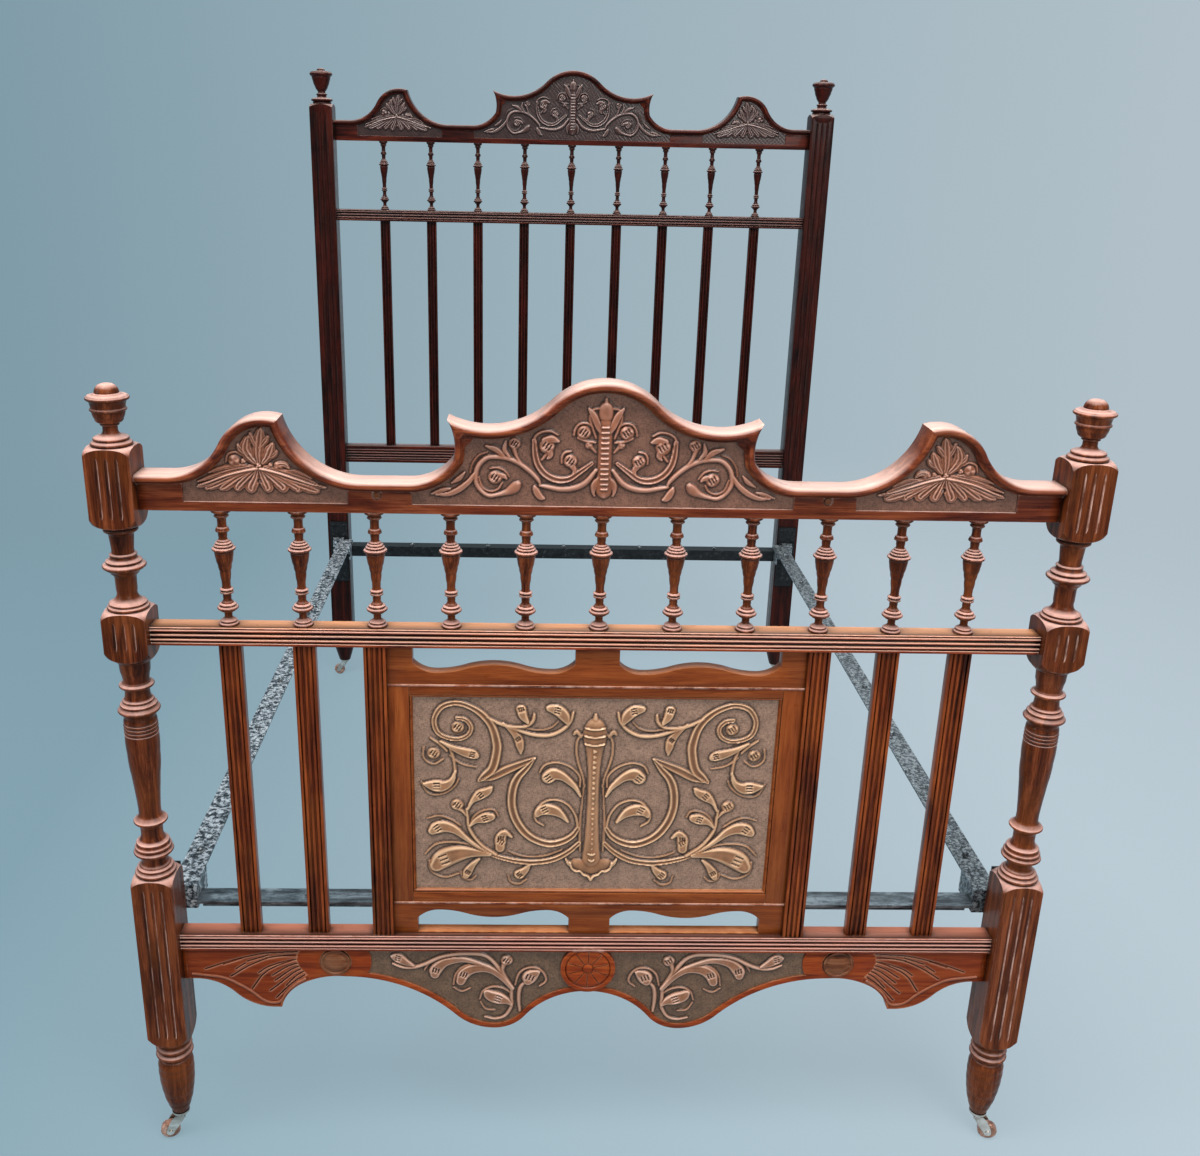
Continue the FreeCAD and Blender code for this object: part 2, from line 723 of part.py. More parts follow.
def castorFork():
    """Horned fork: stem, crown disc and two cheeks that sweep down to the axle."""
    crown = Part.makeCylinder(crownRadius, crownThickness, V(0, 0, forkRise), UP)
    stem = Part.makeCylinder(stemRadius, stemLength + crownThickness, V(0, 0, forkRise), UP)
    inner = wheelWidth / 2 + forkPlay
    outline = [
        line((-crownRadius * forkBackShare, forkRise), (crownRadius * forkBackShare, forkRise)),
        arc((crownRadius * forkBackShare, forkRise), (wheelTrail, forkRise * forkBackBendShare),
            (wheelTrail + forkEye, wheelRadius)),
        arc((wheelTrail + forkEye, wheelRadius), (wheelTrail, wheelRadius - forkEye),
            (wheelTrail - forkEye, wheelRadius)),
        arc((wheelTrail - forkEye, wheelRadius),
            (crownRadius * forkBellyShare, forkRise * forkBellyBendShare),
            (-crownRadius * forkBackShare, forkRise)),
    ]
    cheek = closedFace(outline).extrude(V(0, forkCheek, 0))
    fork = crown.fuse(stem)
    for y in (inner, -inner - forkCheek):
        blade = cheek.copy()
        blade.translate(V(0, y, 0))
        fork = fork.fuse(blade)
    width = 2 * (inner + forkCheek)
    bridge = box(-crownRadius * forkBackShare, crownRadius * forkBackShare, -width / 2, width / 2,
                 forkRise - crownThickness, forkRise)
    holeStart = V(wheelTrail, -width / 2 - overrun, wheelRadius)
    hole = Part.makeCylinder(axleRadius, width + 2 * overrun, holeStart, ALONG)
    return fork.fuse(bridge).cut(hole).removeSplitter()


def castorWheel():
    half = wheelWidth / 2
    bore = axleRadius + bearingPlay
    profile = [
        V(bore, -half, 0), V(wheelRadius - wheelCrown, -half, 0), V(wheelRadius, -half + wheelCrown, 0),
        V(wheelRadius, half - wheelCrown, 0), V(wheelRadius - wheelCrown, half, 0), V(bore, half, 0),
    ]
    wheel = polygonFace(profile).revolve(V(0, 0, 0), ALONG, 360)
    wheel.translate(V(wheelTrail, 0, wheelRadius))
    return wheel


def castorAxle():
    half = wheelWidth / 2 + forkPlay + forkCheek
    pin = Part.makeCylinder(axleRadius, 2 * half, V(wheelTrail, -half, wheelRadius), ALONG)
    for y in (-half - axleHead, half):
        head = Part.makeCylinder(axleRadius + axleHead, axleHead, V(wheelTrail, y, wheelRadius), ALONG)
        pin = pin.fuse(head)
    return pin.removeSplitter()


def castorCup():
    """Round plate under a post's foot, through which the stem passes."""
    bottom = forkRise + crownThickness + crownGap
    cup = Part.makeCylinder(cupRadius, cupThickness, V(0, 0, bottom), UP)
    return cup.cut(Part.makeCylinder(stemRadius + stemPlay, cupThickness, V(0, 0, bottom), UP))


def footBar(x, depth):
    """Slat or upright of the footboard's lower field."""
    return uprightBar(footSlatWidth, depth, slatReeds, slatMargin, x, footY, footRailTop, footMidRail)


def buildFootboard():
    for name, side in SIDES:
        save("foot_post_" + name, footPost(side))
        top = footBlocks[-1][1]
        save("foot_finial_" + name, finial(side, footY, top, footFinialHeight, footFinialShares))
        save("foot_panel_stile_" + name, stile(side))
        save("foot_upright_" + name, footBar(side * uprightX, uprightDepth))
        for label, share in zip(("inner", "outer"), footSlatShares):
            save("foot_slat_" + label + "_" + name, footBar(side * share * footSpindleStep, footSlatDepth))
    save("foot_crest_rail", crestRail(footInnerX, footY, footCrestBottom))
    save("foot_mid_rail",
         railBar(midRailHeight, railDepth, railReeds, railMargin, footInnerX, footY, footMidRail))
    save("foot_bottom_rail",
         railBar(bottomRailHeight, railDepth, railReeds, railMargin, footInnerX, footY, bottomRail))
    save("foot_apron", footApron())
    upper, lower = panelRails()
    save("foot_panel_top_rail", upper)
    save("foot_panel_bottom_rail", lower)
    save("foot_carved_panel", panelBlank(0))
    places = row(footSpindleCount, footSpindleStep)
    save("foot_spindles", *[
        spindle(x, footY, footMidTop, footCrestBottom, footSpindleBead) for x in places
    ])


def buildHeadboard():
    for name, side in SIDES:
        save("head_post_" + name, headPost(side))
        save("head_finial_" + name,
             finial(side, headY, headPostTop, headFinialHeight, headFinialShares))
    save("head_crest_rail", crestRail(headInnerX, headY, headCrestBottom))
    save("head_mid_rail",
         railBar(headMidRailHeight, railDepth, railReeds, railMargin, headInnerX, headY, headMidRail))
    save("head_low_rail",
         railBar(headLowRailHeight, railDepth, railReeds, headLowMargin, headInnerX, headY, headLowRail))
    places = row(headSpindleCount, headSpindleStep)
    save("head_spindles", *[
        spindle(x, headY, headMidTop, headCrestBottom, headSpindleBead) for x in places
    ])
    save("head_slats", *[
        uprightBar(headSlatWidth, headSlatDepth, slatReeds, slatMargin, x, headY, headLowTop, headMidRail)
        for x in places
    ])


def buildIrons():
    footFace = footY + footPostSide / 2
    headFace = headY - headPostSide / 2
    for name, side in SIDES:
        save("side_iron_" + name, sideIron(side))
        save("foot_bracket_" + name, bracket(side, footFace, 1))
        save("head_bracket_" + name, bracket(side, headFace, -1))
    footCrossY = footFace + footCrossGap
    headCrossY = headFace - headCrossGap - crossFlange
    footCrossTop = ironTop - footCrossDrop
    headCrossTop = ironTop - headCrossDrop
    # each web stands on the side that faces the middle of the bed
    footWebY = footCrossY + crossFlange - ironThickness
    save("foot_cross_iron", crossIron(footCrossTop, footCrossY, footWebY))
    save("head_cross_iron", crossIron(headCrossTop, headCrossY, headCrossY))
    studX = ironInnerX + ironFlange / 2
    first = footFace + studInset
    step = (headFace - studInset - first) / (studCount - 1)
    save("side_iron_studs", *[
        stud(side * studX, first + number * step, ironTop) for _, side in SIDES for number in range(studCount)
    ])
    span = 2 * (ironInnerX - crossStudInset)
    places = row(crossStudCount, span / (crossStudCount - 1))
    save("cross_iron_studs", *[
        stud(x, y + crossFlange / 2, top)
        for y, top in ((footCrossY, footCrossTop), (headCrossY, headCrossTop)) for x in places
    ])
    print("stud spacing", 2 * studX, step * (studCount - 1), "first", first)


CASTOR_PIECES = (("cup", castorCup), ("fork", castorFork), ("wheel", castorWheel), ("axle", castorAxle))


def buildCastors():
    for board, y, lean in (("foot", footY, 1), ("head", headY, -1)):
        for name, side in SIDES:
            turn = 180 + lean * castorTurn if side < 0 else -lean * castorTurn
            where = castorFrame(side * halfSpacing, y, turn)
            for piece, maker in CASTOR_PIECES:
                solid = maker()
                solid.Placement = where.multiply(solid.Placement)
                save("castor_" + piece + "_" + board + "_" + name, solid)
            axle = where.multVec(V(wheelTrail, 0, wheelRadius))
            print("castor", board, name, "axle at", axle, "axis", where.Rotation.multVec(ALONG))


os.makedirs(OUT_DIR, exist_ok=True)
buildFootboard()
buildHeadboard()
buildIrons()
buildCastors()
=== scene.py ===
import math
import bmesh
import bpy
import numpy as np
from mathutils import Matrix, Vector


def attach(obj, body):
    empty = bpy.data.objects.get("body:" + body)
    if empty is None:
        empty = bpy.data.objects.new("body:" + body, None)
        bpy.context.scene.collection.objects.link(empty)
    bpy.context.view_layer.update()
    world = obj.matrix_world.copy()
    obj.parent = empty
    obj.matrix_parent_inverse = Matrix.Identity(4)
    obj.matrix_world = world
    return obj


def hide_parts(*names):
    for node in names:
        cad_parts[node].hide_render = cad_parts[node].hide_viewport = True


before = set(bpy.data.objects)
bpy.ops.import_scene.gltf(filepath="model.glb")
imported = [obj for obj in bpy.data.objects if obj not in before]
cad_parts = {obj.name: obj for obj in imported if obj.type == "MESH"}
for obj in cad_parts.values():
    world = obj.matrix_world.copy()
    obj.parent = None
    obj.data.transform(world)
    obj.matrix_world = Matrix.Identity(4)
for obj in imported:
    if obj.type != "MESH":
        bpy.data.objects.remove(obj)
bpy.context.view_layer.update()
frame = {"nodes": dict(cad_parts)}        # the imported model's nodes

scene = bpy.context.scene
mm = 0.001
footY = -947.5           # middle of the footboard, in millimetres
headY = 948.5            # middle of the headboard
halfSpacing = 686.0      # post centres from the middle of the bed
footHalf = 654.0         # half length of the footboard's rails, between its posts
headHalf = 655.0         # the same at the headboard
crestFoot = 1123.0       # bottom of the foot's crest rail, from the floor
headPitch = 130.48       # from one head spindle or slat to the next
panelX = 281.5           # half width of the carved panel
panelLow = 492.0         # its bottom
panelHigh = 838.0        # its top
tuck = 4.5               # how far a carved tile or a board stays inside the outline it lies behind
sides = (("left", -1), ("right", 1))


# general moves
def clearSelection():
    if bpy.context.object and bpy.context.object.mode != "OBJECT":
        bpy.ops.object.mode_set(mode="OBJECT")
    bpy.ops.object.select_all(action="DESELECT")


def pick(*pieces):
    clearSelection()
    for piece in pieces:
        piece.select_set(True)
    bpy.context.view_layer.objects.active = pieces[0]


def editAll(piece):
    pick(piece)
    bpy.ops.object.mode_set(mode="EDIT")
    bpy.ops.mesh.select_all(action="SELECT")


def cutWith(piece, cutter, operation="DIFFERENCE"):
    pick(piece)
    modifier = piece.modifiers.new("Boolean", "BOOLEAN")
    modifier.object = cutter
    modifier.operation = operation
    modifier.solver = "EXACT"
    bpy.ops.object.modifier_apply(modifier=modifier.name)
    bpy.data.objects.remove(cutter)


def joined(name, pieces):
    pick(*pieces)
    if len(pieces) > 1:
        bpy.ops.object.join()
    pieces[0].name = name
    return pieces[0]


def copied(piece, name, turn=Matrix.Identity(4)):
    twin = piece.copy()
    twin.data = piece.data.copy()
    twin.name = name
    scene.collection.objects.link(twin)
    twin.data.transform(turn)
    return twin


def shifted(x=0.0, y=0.0, z=0.0):
    return Matrix.Translation(Vector((x, y, z)) * mm)


def aboutX(quarters):
    return Matrix.Rotation(quarters * math.pi / 2, 4, "X")


def tidyMesh(piece, angle=35.0, merge=0.004):
    # doubles merged, faces outwards, also where the whole shell came out reversed
    editAll(piece)
    bpy.ops.mesh.remove_doubles(threshold=merge * mm)
    bpy.ops.mesh.normals_make_consistent(inside=False)
    bpy.ops.object.mode_set(mode="OBJECT")
    form = bmesh.new()
    form.from_mesh(piece.data)
    if form.calc_volume(signed=True) < 0:
        piece.data.flip_normals()
    form.free()
    bpy.ops.object.shade_smooth_by_angle(angle=math.radians(angle))
    return piece


def cornerNormals(mesh):
    normals = np.empty(len(mesh.loops) * 3)
    mesh.corner_normals.foreach_get("vector", normals)
    return normals.reshape(-1, 3)


def cornerPlaces(mesh):
    return np.array([mesh.vertices[loop.vertex_index].co for loop in mesh.loops]) / mm


def writeValues(mesh, label, domain, values):
    layer = mesh.attributes.new(label, "FLOAT", domain)
    layer.data.foreach_set("value", values.astype(np.float32))


def markPaintedTopLight(mesh):
    # how far each corner of the mesh looks up, for the painted highlight on upward faces
    writeValues(mesh, "paintedTopLight", "CORNER", np.clip((cornerNormals(mesh)[:, 2] - 0.45) / 0.5, 0, 1))


def markPaintedReedLight(mesh, front, rise):
    # reeds on a rail's front: painted highlight on their upper flanks (+), painted shade, near black, in the gaps
    # between them (-)
    depth = cornerPlaces(mesh)[:, 1] - front
    value = np.clip((cornerNormals(mesh)[:, 2] - 0.36) / 0.30, 0, 1) * (depth < rise * 0.75)
    value -= 2 * np.clip((depth - rise * 0.34) / (rise * 0.3), 0, 1) * (depth < rise + 0.6)
    writeValues(mesh, "paintedGlintShade", "CORNER", np.clip(value, -1, 1))


def markFlutes(mesh, front, spec, spans):
    # flutes of a block: a painted highlight on the wall facing left, painted shade on the wall facing right
    across, depth, height = cornerPlaces(mesh).T
    inside = (depth < front + spec["fluteDepth"] + 0.2) & (np.abs(across) < spec["fluteStep"] + spec["fluteRadius"])
    inside &= np.any([(height > low) & (height < high) for low, high in spans], axis=0)
    lean = cornerNormals(mesh)[:, 0]
    lean = lean * (np.abs(lean) > 0.2) * inside
    writeValues(mesh, "paintedGlintShade", "CORNER", np.clip(-lean * 1.2, -0.7, spec["wearAndHighlight"]))


def settle(piece, material, nodes=(), body="bedstead"):
    if "raised" not in piece.data.attributes:
        markPaintedTopLight(piece.data)
    piece.data.materials.clear()
    piece.data.materials.append(material)
    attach(piece, body)
    if nodes:
        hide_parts(*nodes)
    return piece


# lathe, bars and boards
def profilePlaces(profile, fine=1.3):
    # (height, radius) places; a third number bows the line from the place before, out (+) or in (-)
    places = [profile[0][:2]]
    for step in profile[1:]:
        (z0, r0), (z1, r1) = places[-1], step[:2]
        bow = step[2] if len(step) > 2 else 0
        if not bow:
            places.append((z1, r1))
            continue
        length = math.hypot(z1 - z0, r1 - r0)
        half = 2 * math.atan(2 * abs(bow))
        radius = length / (2 * math.sin(half))
        count = max(3, round(2 * half * radius / fine))
        for number in range(1, count + 1):
            angle = -half + 2 * half * number / count
            along = 0.5 + radius * math.sin(angle) / length
            lift = math.copysign(radius * (math.cos(angle) - math.cos(half)), bow) / length
            places.append((z0 + (z1 - z0) * along - (r1 - r0) * lift, r0 + (r1 - r0) * along + (z1 - z0) * lift))
    return [(z, r if r > 0.2 else 0.0) for z, r in places]


def turnOnLathe(name, profile, segments=48, fine=1.3):
    # the profile is drawn as a line of edges and spun about Z
    places = profilePlaces(profile, fine)
    places = [(places[0][0], 0.0)] + places + [(places[-1][0], 0.0)]
    line = bpy.data.meshes.new(name)
    line.from_pydata([(r * mm, 0, z * mm) for z, r in places], [(k, k + 1) for k in range(len(places) - 1)], [])
    piece = bpy.data.objects.new(name, line)
    scene.collection.objects.link(piece)
    editAll(piece)
    bpy.ops.mesh.spin(steps=segments, angle=2 * math.pi, center=(0, 0, 0), axis=(0, 0, 1))
    bpy.ops.object.mode_set(mode="OBJECT")
    return tidyMesh(piece)


def blockOf(name, x0, x1, y0, y1, z0, z1, bevel=0.0):
    clearSelection()
    bpy.ops.mesh.primitive_cube_add(size=1)
    piece = bpy.context.object
    piece.name = name
    size = Matrix.Diagonal((x1 - x0, y1 - y0, z1 - z0, 1)) * mm
    size[3][3] = 1
    piece.data.transform(shifted((x0 + x1) / 2, (y0 + y1) / 2, (z0 + z1) / 2) @ size)
    if bevel:
        editAll(piece)
        bpy.ops.mesh.bevel(offset=bevel * mm, segments=2, affect="EDGES")
        bpy.ops.object.mode_set(mode="OBJECT")
    return piece


def gridPiece(name, wide, high):
    # a flat grid, and which column and row each of its vertices stands in
    clearSelection()
    bpy.ops.mesh.primitive_grid_add(x_subdivisions=wide - 1, y_subdivisions=high - 1, size=2)
    piece = bpy.context.object
    piece.name = name
    flat = np.empty(len(piece.data.vertices) * 3)
    piece.data.vertices.foreach_get("co", flat)
    flat = flat.reshape(-1, 3)
    column = np.rint((flat[:, 0] + 1) / 2 * (wide - 1)).astype(int)
    row = np.rint((flat[:, 1] + 1) / 2 * (high - 1)).astype(int)
    return piece, column, row


def skinOver(name, rows, angle=35.0):
    # a grid laid over rows of places (millimetres); each row meets its own start, open ends are filled
    rows = np.asarray(rows, float)
    rows = np.concatenate([rows, rows[:, :1]], axis=1)
    high, wide = rows.shape[:2]
    piece, column, row = gridPiece(name, wide, high)
    piece.data.vertices.foreach_set("co", (rows[row, column] * mm).ravel())
    editAll(piece)
    bpy.ops.mesh.remove_doubles(threshold=0.004 * mm)
    bpy.ops.mesh.select_all(action="SELECT")
    bpy.ops.mesh.fill_holes(sides=0)
    bpy.ops.object.mode_set(mode="OBJECT")
    return tidyMesh(piece, angle)


def sawnBoard(name, outlines, y0, y1, bevel, angle=35.0):
    # flat outlines on X and Z, thickened between two depths with softened edges
    curve = bpy.data.curves.new(name, "CURVE")
    curve.dimensions = "2D"
    curve.fill_mode = "BOTH"
    curve.extrude = ((y1 - y0) / 2 - bevel) * mm
    curve.bevel_depth = bevel * mm
    curve.bevel_resolution = 1
    curve.offset = -bevel * mm
    for outline in outlines:
        spline = curve.splines.new("POLY")
        spline.points.add(len(outline) - 1)
        for point, (x, z) in zip(spline.points, outline):
            point.co = (x * mm, z * mm, 0, 1)
        spline.use_cyclic_u = True
    piece = bpy.data.objects.new(name, curve)
    scene.collection.objects.link(piece)
    pick(piece)
    bpy.ops.object.convert(target="MESH")
    piece = bpy.context.object
    piece.data.transform(shifted(y=(y0 + y1) / 2) @ aboutX(1))
    return tidyMesh(piece, angle, merge=0.02)


def reedSection(width, depth, reeds, margin, rise, quirk, shift=0.0):
    # bar section: (across, depth) with rounded reeds on the front, at -depth / 2
    soften, swing = 1.6, 1.25        # radius of the bar's arrises, half the angle a reed covers
    front = -depth / 2
    low = front + rise
    pitch = (width - 2 * margin + quirk) / reeds
    half = max((pitch - quirk) / 2, 0.5)
    plain = front + rise * 0.2

    def arris(angle):
        return soften * (1 - math.cos(angle)), soften * (1 - math.sin(angle))

    section = []
    for across, back in map(arris, np.linspace(0, math.pi / 2, 4)):
        section.append((-width / 2 + across, plain + back))
    for reed in range(reeds):
        middle = -width / 2 + margin + half + reed * pitch + shift
        if not reed:
            section.append((middle - half - quirk * 0.9, plain))
        section.append((middle - half - quirk * 0.3, low + 0.4))
        for angle in np.linspace(-swing, swing, 7):
            section.append((middle + half * math.sin(angle) / math.sin(swing),
                            front + rise * (1 - (math.cos(angle) - math.cos(swing)) / (1 - math.cos(swing)))))
        section.append((middle + half + quirk * 0.3, low + 0.4))
    section.append((middle + half + quirk * 0.9, plain))
    for across, back in map(arris, np.linspace(math.pi / 2, 0, 4)):
        section.append((width / 2 - across, plain + back))
    for across, back in map(arris, np.linspace(0, math.pi / 2, 3)):
        section.append((width / 2 - across, depth / 2 - back))
    for across, back in map(arris, math.pi / 2 - np.linspace(0, math.pi / 2, 3)):
        section.append((-(width / 2 - across), depth / 2 - back))
    return section


def standingBar(name, section, x, y, bottom, top):
    return skinOver(name, [[(x + u, y + v, z) for u, v in section] for z in (bottom, top)])


def lyingBar(name, section, y, middle, left, right):
    return skinOver(name, [[(x, y + v, middle + u) for u, v in section] for x in (left, right)])


# outlines
def aboutCentre(centre, start, end):
    # the shorter arc about a centre, without its start, in steps of about 2.5 mm
    radius = math.hypot(start[0] - centre[0], start[1] - centre[1])
    first = math.atan2(start[1] - centre[1], start[0] - centre[0])
    sweep = math.atan2(end[1] - centre[1], end[0] - centre[0]) - first
    sweep = (sweep + math.pi) % (2 * math.pi) - math.pi
    count = max(2, round(abs(sweep) * radius / 2.5))
    return [(centre[0] + radius * math.cos(first + sweep * k / count),
             centre[1] + radius * math.sin(first + sweep * k / count)) for k in range(1, count + 1)]


def ogee(low, high, lowShare, rising=True):
    # two arcs that leave both ends level and meet at a share of the way; also their centres
    across, rise = high[0] - low[0], high[1] - low[1]
    both = (across ** 2 + rise ** 2) / (2 * rise)
    lowCentre = (low[0], low[1] + both * lowShare)
    highCentre = (high[0], high[1] - both * (1 - lowShare))
    meet = (low[0] + across * lowShare, low[1] + rise * lowShare)
    if rising:
        places = aboutCentre(lowCentre, low, meet) + aboutCentre(highCentre, meet, high)
    else:
        places = aboutCentre(highCentre, high, meet) + aboutCentre(lowCentre, meet, low)
    return places, lowCentre, highCentre


def throughThree(p, q, r):
    # the arc from p through q to r
    ax, ay, bx, by = q[0] - p[0], q[1] - p[1], r[0] - p[0], r[1] - p[1]
    cross = 2 * (ax * by - ay * bx)
    ux = (by * (ax ** 2 + ay ** 2) - ay * (bx ** 2 + by ** 2)) / cross
    uy = (ax * (bx ** 2 + by ** 2) - bx * (ax ** 2 + ay ** 2)) / cross
    centre = (p[0] + ux, p[1] + uy)
    return aboutCentre(centre, p, q) + aboutCentre(centre, q, r)


def pulledIn(line, reach):
    # the line moved to its right-hand side by reach, mitred at corners without loops
    line = np.asarray(line, float)
    ahead = np.diff(line, axis=0)
    ahead /= np.linalg.norm(ahead, axis=1)[:, None]
    before = np.vstack([ahead[:1], ahead])
    after = np.vstack([ahead, ahead[-1:]])
    normals = np.stack([np.stack([way[:, 1], -way[:, 0]], axis=1) for way in (before, after)])
    mitre = normals.sum(0) / (1 + (normals[0] * normals[1]).sum(1))[:, None]
    moved = line + mitre * reach
    turn = before[:, 0] * after[:, 1] - before[:, 1] * after[:, 0]
    for corner in np.nonzero(turn < -0.35)[0]:
        spot = moved[corner]
        for way, tangent in ((-1, before[corner]), (1, -after[corner])):
            number = corner + way
            while 0 < number < len(line) - 1 and np.dot(moved[number] - spot, tangent) > 0:
                moved[number] = spot
                number += way
    return moved


crest = {                # heights above the rail's bottom edge, places as shares of its half length
    "endRise": 53.0, "rise": 191.5, "wing": 0.9327, "peak": 0.7232, "peakRise": 137.0, "wingCusp": 0.6911,
    "valleyOuter": 0.5199, "valleyInner": 0.4205, "valleyRise": 46.5, "valleyCurve": 0.1177,
    "earRoot": 0.3226, "ear": 0.3349, "earDip": 0.2492, "earDipRise": 124.5, "swell": 5.5, "low": 0.55,
    "board": 26.0, "sink": 3.0, "foot": 14.0, "wingField": (0.5505, 0.9021), "centreField": 0.4128,
    "plugX": 319.0, "plugRise": 27.0,
}
capSection = [           # (in from the outline, depth): bullnose, fillet, cove, second fillet, softened back
    (0.0, 22.0), (0.0, -17.5), (0.5, -20.2), (1.9, -22.7), (4.0, -24.4), (6.4, -25.0), (8.2, -24.3), (9.0, -22.8),
    (9.0, -21.2), (10.1, -20.3), (10.7, -18.4), (11.6, -16.6), (13.2, -15.6), (14.0, -14.4), (14.0, -11.0),
    (8.8, -10.6), (8.8, 13.0), (8.6, 23.5), (7.4, 25.0), (2.4, 25.0), (0.6, 24.2),
]


def crestLine():
    # left to right: end, wing, cusp, valley, ear and the raised middle, all of tangent arcs
    c = crest

    def at(share):
        return -footHalf * c[share]

    places = [(-footHalf, c["endRise"]), (at("wing"), c["endRise"])]
    wing, _, high = ogee((at("wing"), c["endRise"]), (at("peak"), c["peakRise"]), c["low"])
    radius = c["peakRise"] - high[1]
    cusp = (at("wingCusp"), high[1] + math.sqrt(radius ** 2 - (at("wingCusp") - high[0]) ** 2))
    places += wing + aboutCentre(high, wing[-1], cusp)
    drop = cusp[1] - c["valleyRise"]
    outer, inner = at("valleyOuter"), at("valleyInner")
    reach = ((outer - cusp[0]) ** 2 + drop ** 2) / (2 * drop)
    places += aboutCentre((outer, c["valleyRise"] + reach), cusp, (outer, c["valleyRise"]))
    places += [(outer + (inner - outer) * k / 20, c["valleyRise"]) for k in range(1, 21)]
    reach = footHalf * c["valleyCurve"]
    middle = (inner, c["valleyRise"] + reach)
    root = (at("earRoot"), middle[1] - math.sqrt(reach ** 2 - (at("earRoot") - middle[0]) ** 2))
    places += aboutCentre(middle, places[-1], root)
    top, dip, _ = ogee((at("earDip"), c["earDipRise"]), (0.0, c["rise"]), c["low"])
    reach = dip[1] - c["earDipRise"]
    tip = (at("ear"), dip[1] - math.sqrt(reach ** 2 - (at("ear") - dip[0]) ** 2))
    swell = ((root[0] + tip[0]) / 2 + c["swell"], (root[1] + tip[1]) / 2)
    places += throughThree(root, swell, tip)
    places += aboutCentre(dip, tip, (at("earDip"), c["earDipRise"])) + top
    return places + [(-x, z) for x, z in places[-2::-1]]


# carving
def softLine(places):
    # smooth line through (x, z, half width) places, in steps of about 1 mm
    p = np.array(places, float)
    if len(p) == 1:
        return p
    q = np.vstack([2 * p[0] - p[1], p, 2 * p[-1] - p[-2]])
    out = []
    for i in range(1, len(q) - 2):
        a, b, c, d = q[i - 1:i + 3]
        count = max(2, int(np.hypot(*(c - b)[:2])))
        t = (np.arange(count) / count)[:, None]
        bend = (2 * a - 5 * b + 4 * c - d) * t ** 2
        out.append(0.5 * (2 * b + (c - a) * t + bend + (3 * b - a - 3 * c + d) * t ** 3))
    return np.vstack(out + [p[-1:]])


def strokeShape(kind, u, along, lift):
    # height over the ground at u, the distance from the line in half widths
    inside = np.clip(1 - u, 0, 1)
    dome = np.sqrt(np.clip(1 - u * u, 0, 1))
    if kind == "band":       # ribbon with two raised edges and a hollow middle
        return lift * np.clip(inside * 3.2, 0, 1) * (0.50 + 0.50 * np.clip(u / 0.62, 0, 1) ** 2)
    if kind == "leaf":       # lobe with a raised rim
        rim = np.exp(-((u - 0.70) / 0.17) ** 2)
        return lift * (dome ** 0.7 * 0.84 + 0.16 * rim * (u < 1))
    if kind == "frond":      # leaf with veins along it
        return lift * dome ** 0.7 * (0.84 + 0.16 * np.cos(u * 10.5 + 2.6))
    if kind == "ball":       # three-lobed bud
        return lift * dome ** 0.8 * (0.82 + 0.18 * np.cos(along * 3 + 0.6) * np.clip(u * 1.6, 0, 1))
    return lift * dome


def withSlits(strokes):
    # three short cuts across the widest place of each leaf and bud
    cuts = []
    for kind, _, line in strokes:
        k = int(np.argmax([place[2] for place in line]))
        x, z, r = line[k]
        if kind not in ("leaf", "ball") or r < 6.0:
            continue
        before = line[k - 1] if k else (line[1] if len(line) > 1 else (x - 1, z - 1.6))
        lean = math.atan2(z - before[1], x - before[0])
        for number in (-1, 0, 1):
            cx, cz = x - math.sin(lean) * number * r * 0.42, z + math.cos(lean) * number * r * 0.42
            dx, dz = math.cos(lean) * r * 0.36, math.sin(lean) * r * 0.36
            cuts.append(("stem", -2.4, [(cx - dx, cz - dz, 1.3), (cx + dx, cz + dz, 1.3)]))
    return strokes + cuts


def carvedField(xs, zs, strokes, mirror=True):
    # heights of all strokes on a grid: each place of a line claims the grid places it is nearest to
    height = np.zeros((len(zs), len(xs)))
    cell = xs[1] - xs[0]
    for kind, lift, places in strokes:
        line = softLine(places)
        if kind == "frond":  # lobed edges
            steps = np.concatenate([[0], np.cumsum(np.hypot(*np.diff(line[:, :2], axis=0).T))])
            line[:, 2] *= 1 - 0.11 * (0.5 + 0.5 * np.cos(steps * 0.75))
        for side in (1, -1) if mirror else (1,):
            near = np.full(height.shape, 9.0)
            along = np.zeros(height.shape)
            run = 0.0
            last = line[0]
            for place in line:
                run += math.hypot(place[0] - last[0], place[1] - last[1])
                last = place
                px, pz, r = side * place[0], place[1], max(place[2], 0.8)
                i0, i1 = np.searchsorted(zs, (pz - r - cell, pz + r + cell))
                j0, j1 = np.searchsorted(xs, (px - r - cell, px + r + cell))
                if i0 >= i1 or j0 >= j1:
                    continue
                apart = np.hypot(xs[j0:j1][None, :] - px, (zs[i0:i1] - pz)[:, None]) / r
                window = near[i0:i1, j0:j1]
                closer = apart < window
                window[closer] = apart[closer]
                angle = side * np.arctan2(zs[i0:i1][:, None] - pz, xs[j0:j1][None, :] - px)
                along[i0:i1, j0:j1][closer] = angle[closer] if len(line) == 1 else run
            shape = strokeShape(kind, near, along, abs(lift))
            if lift < 0:
                height -= shape
            else:
                height = np.maximum(height, shape)
    return height


def punched(xs, zs, height, deep, waves):
    # small dips all over the ground between the strokes
    a, b, c, d = waves
    x, z = xs[None, :], zs[:, None]
    dips = np.sin(x * a + np.sin(z * b) * 2) * np.sin(z * c + np.cos(x * d) * 2)
    return height + np.where(height < 0.6, dips * deep, 0)


def blurred(field, passes=3, reach=2):
    for _ in range(passes):
        for axis in (0, 1):
            field = sum(np.roll(field, k, axis) for k in range(-reach, reach + 1)) / (2 * reach + 1)
    return field


def insideOutline(xs, zs, upper, lower):
    # which grid places lie under the upper line (x rising) and over the lower one
    top = np.interp(xs, *np.array(upper).T)
    base = np.interp(xs, *np.array(lower).T)
    return (zs[:, None] <= top[None, :]) & (zs[:, None] >= base[None, :])


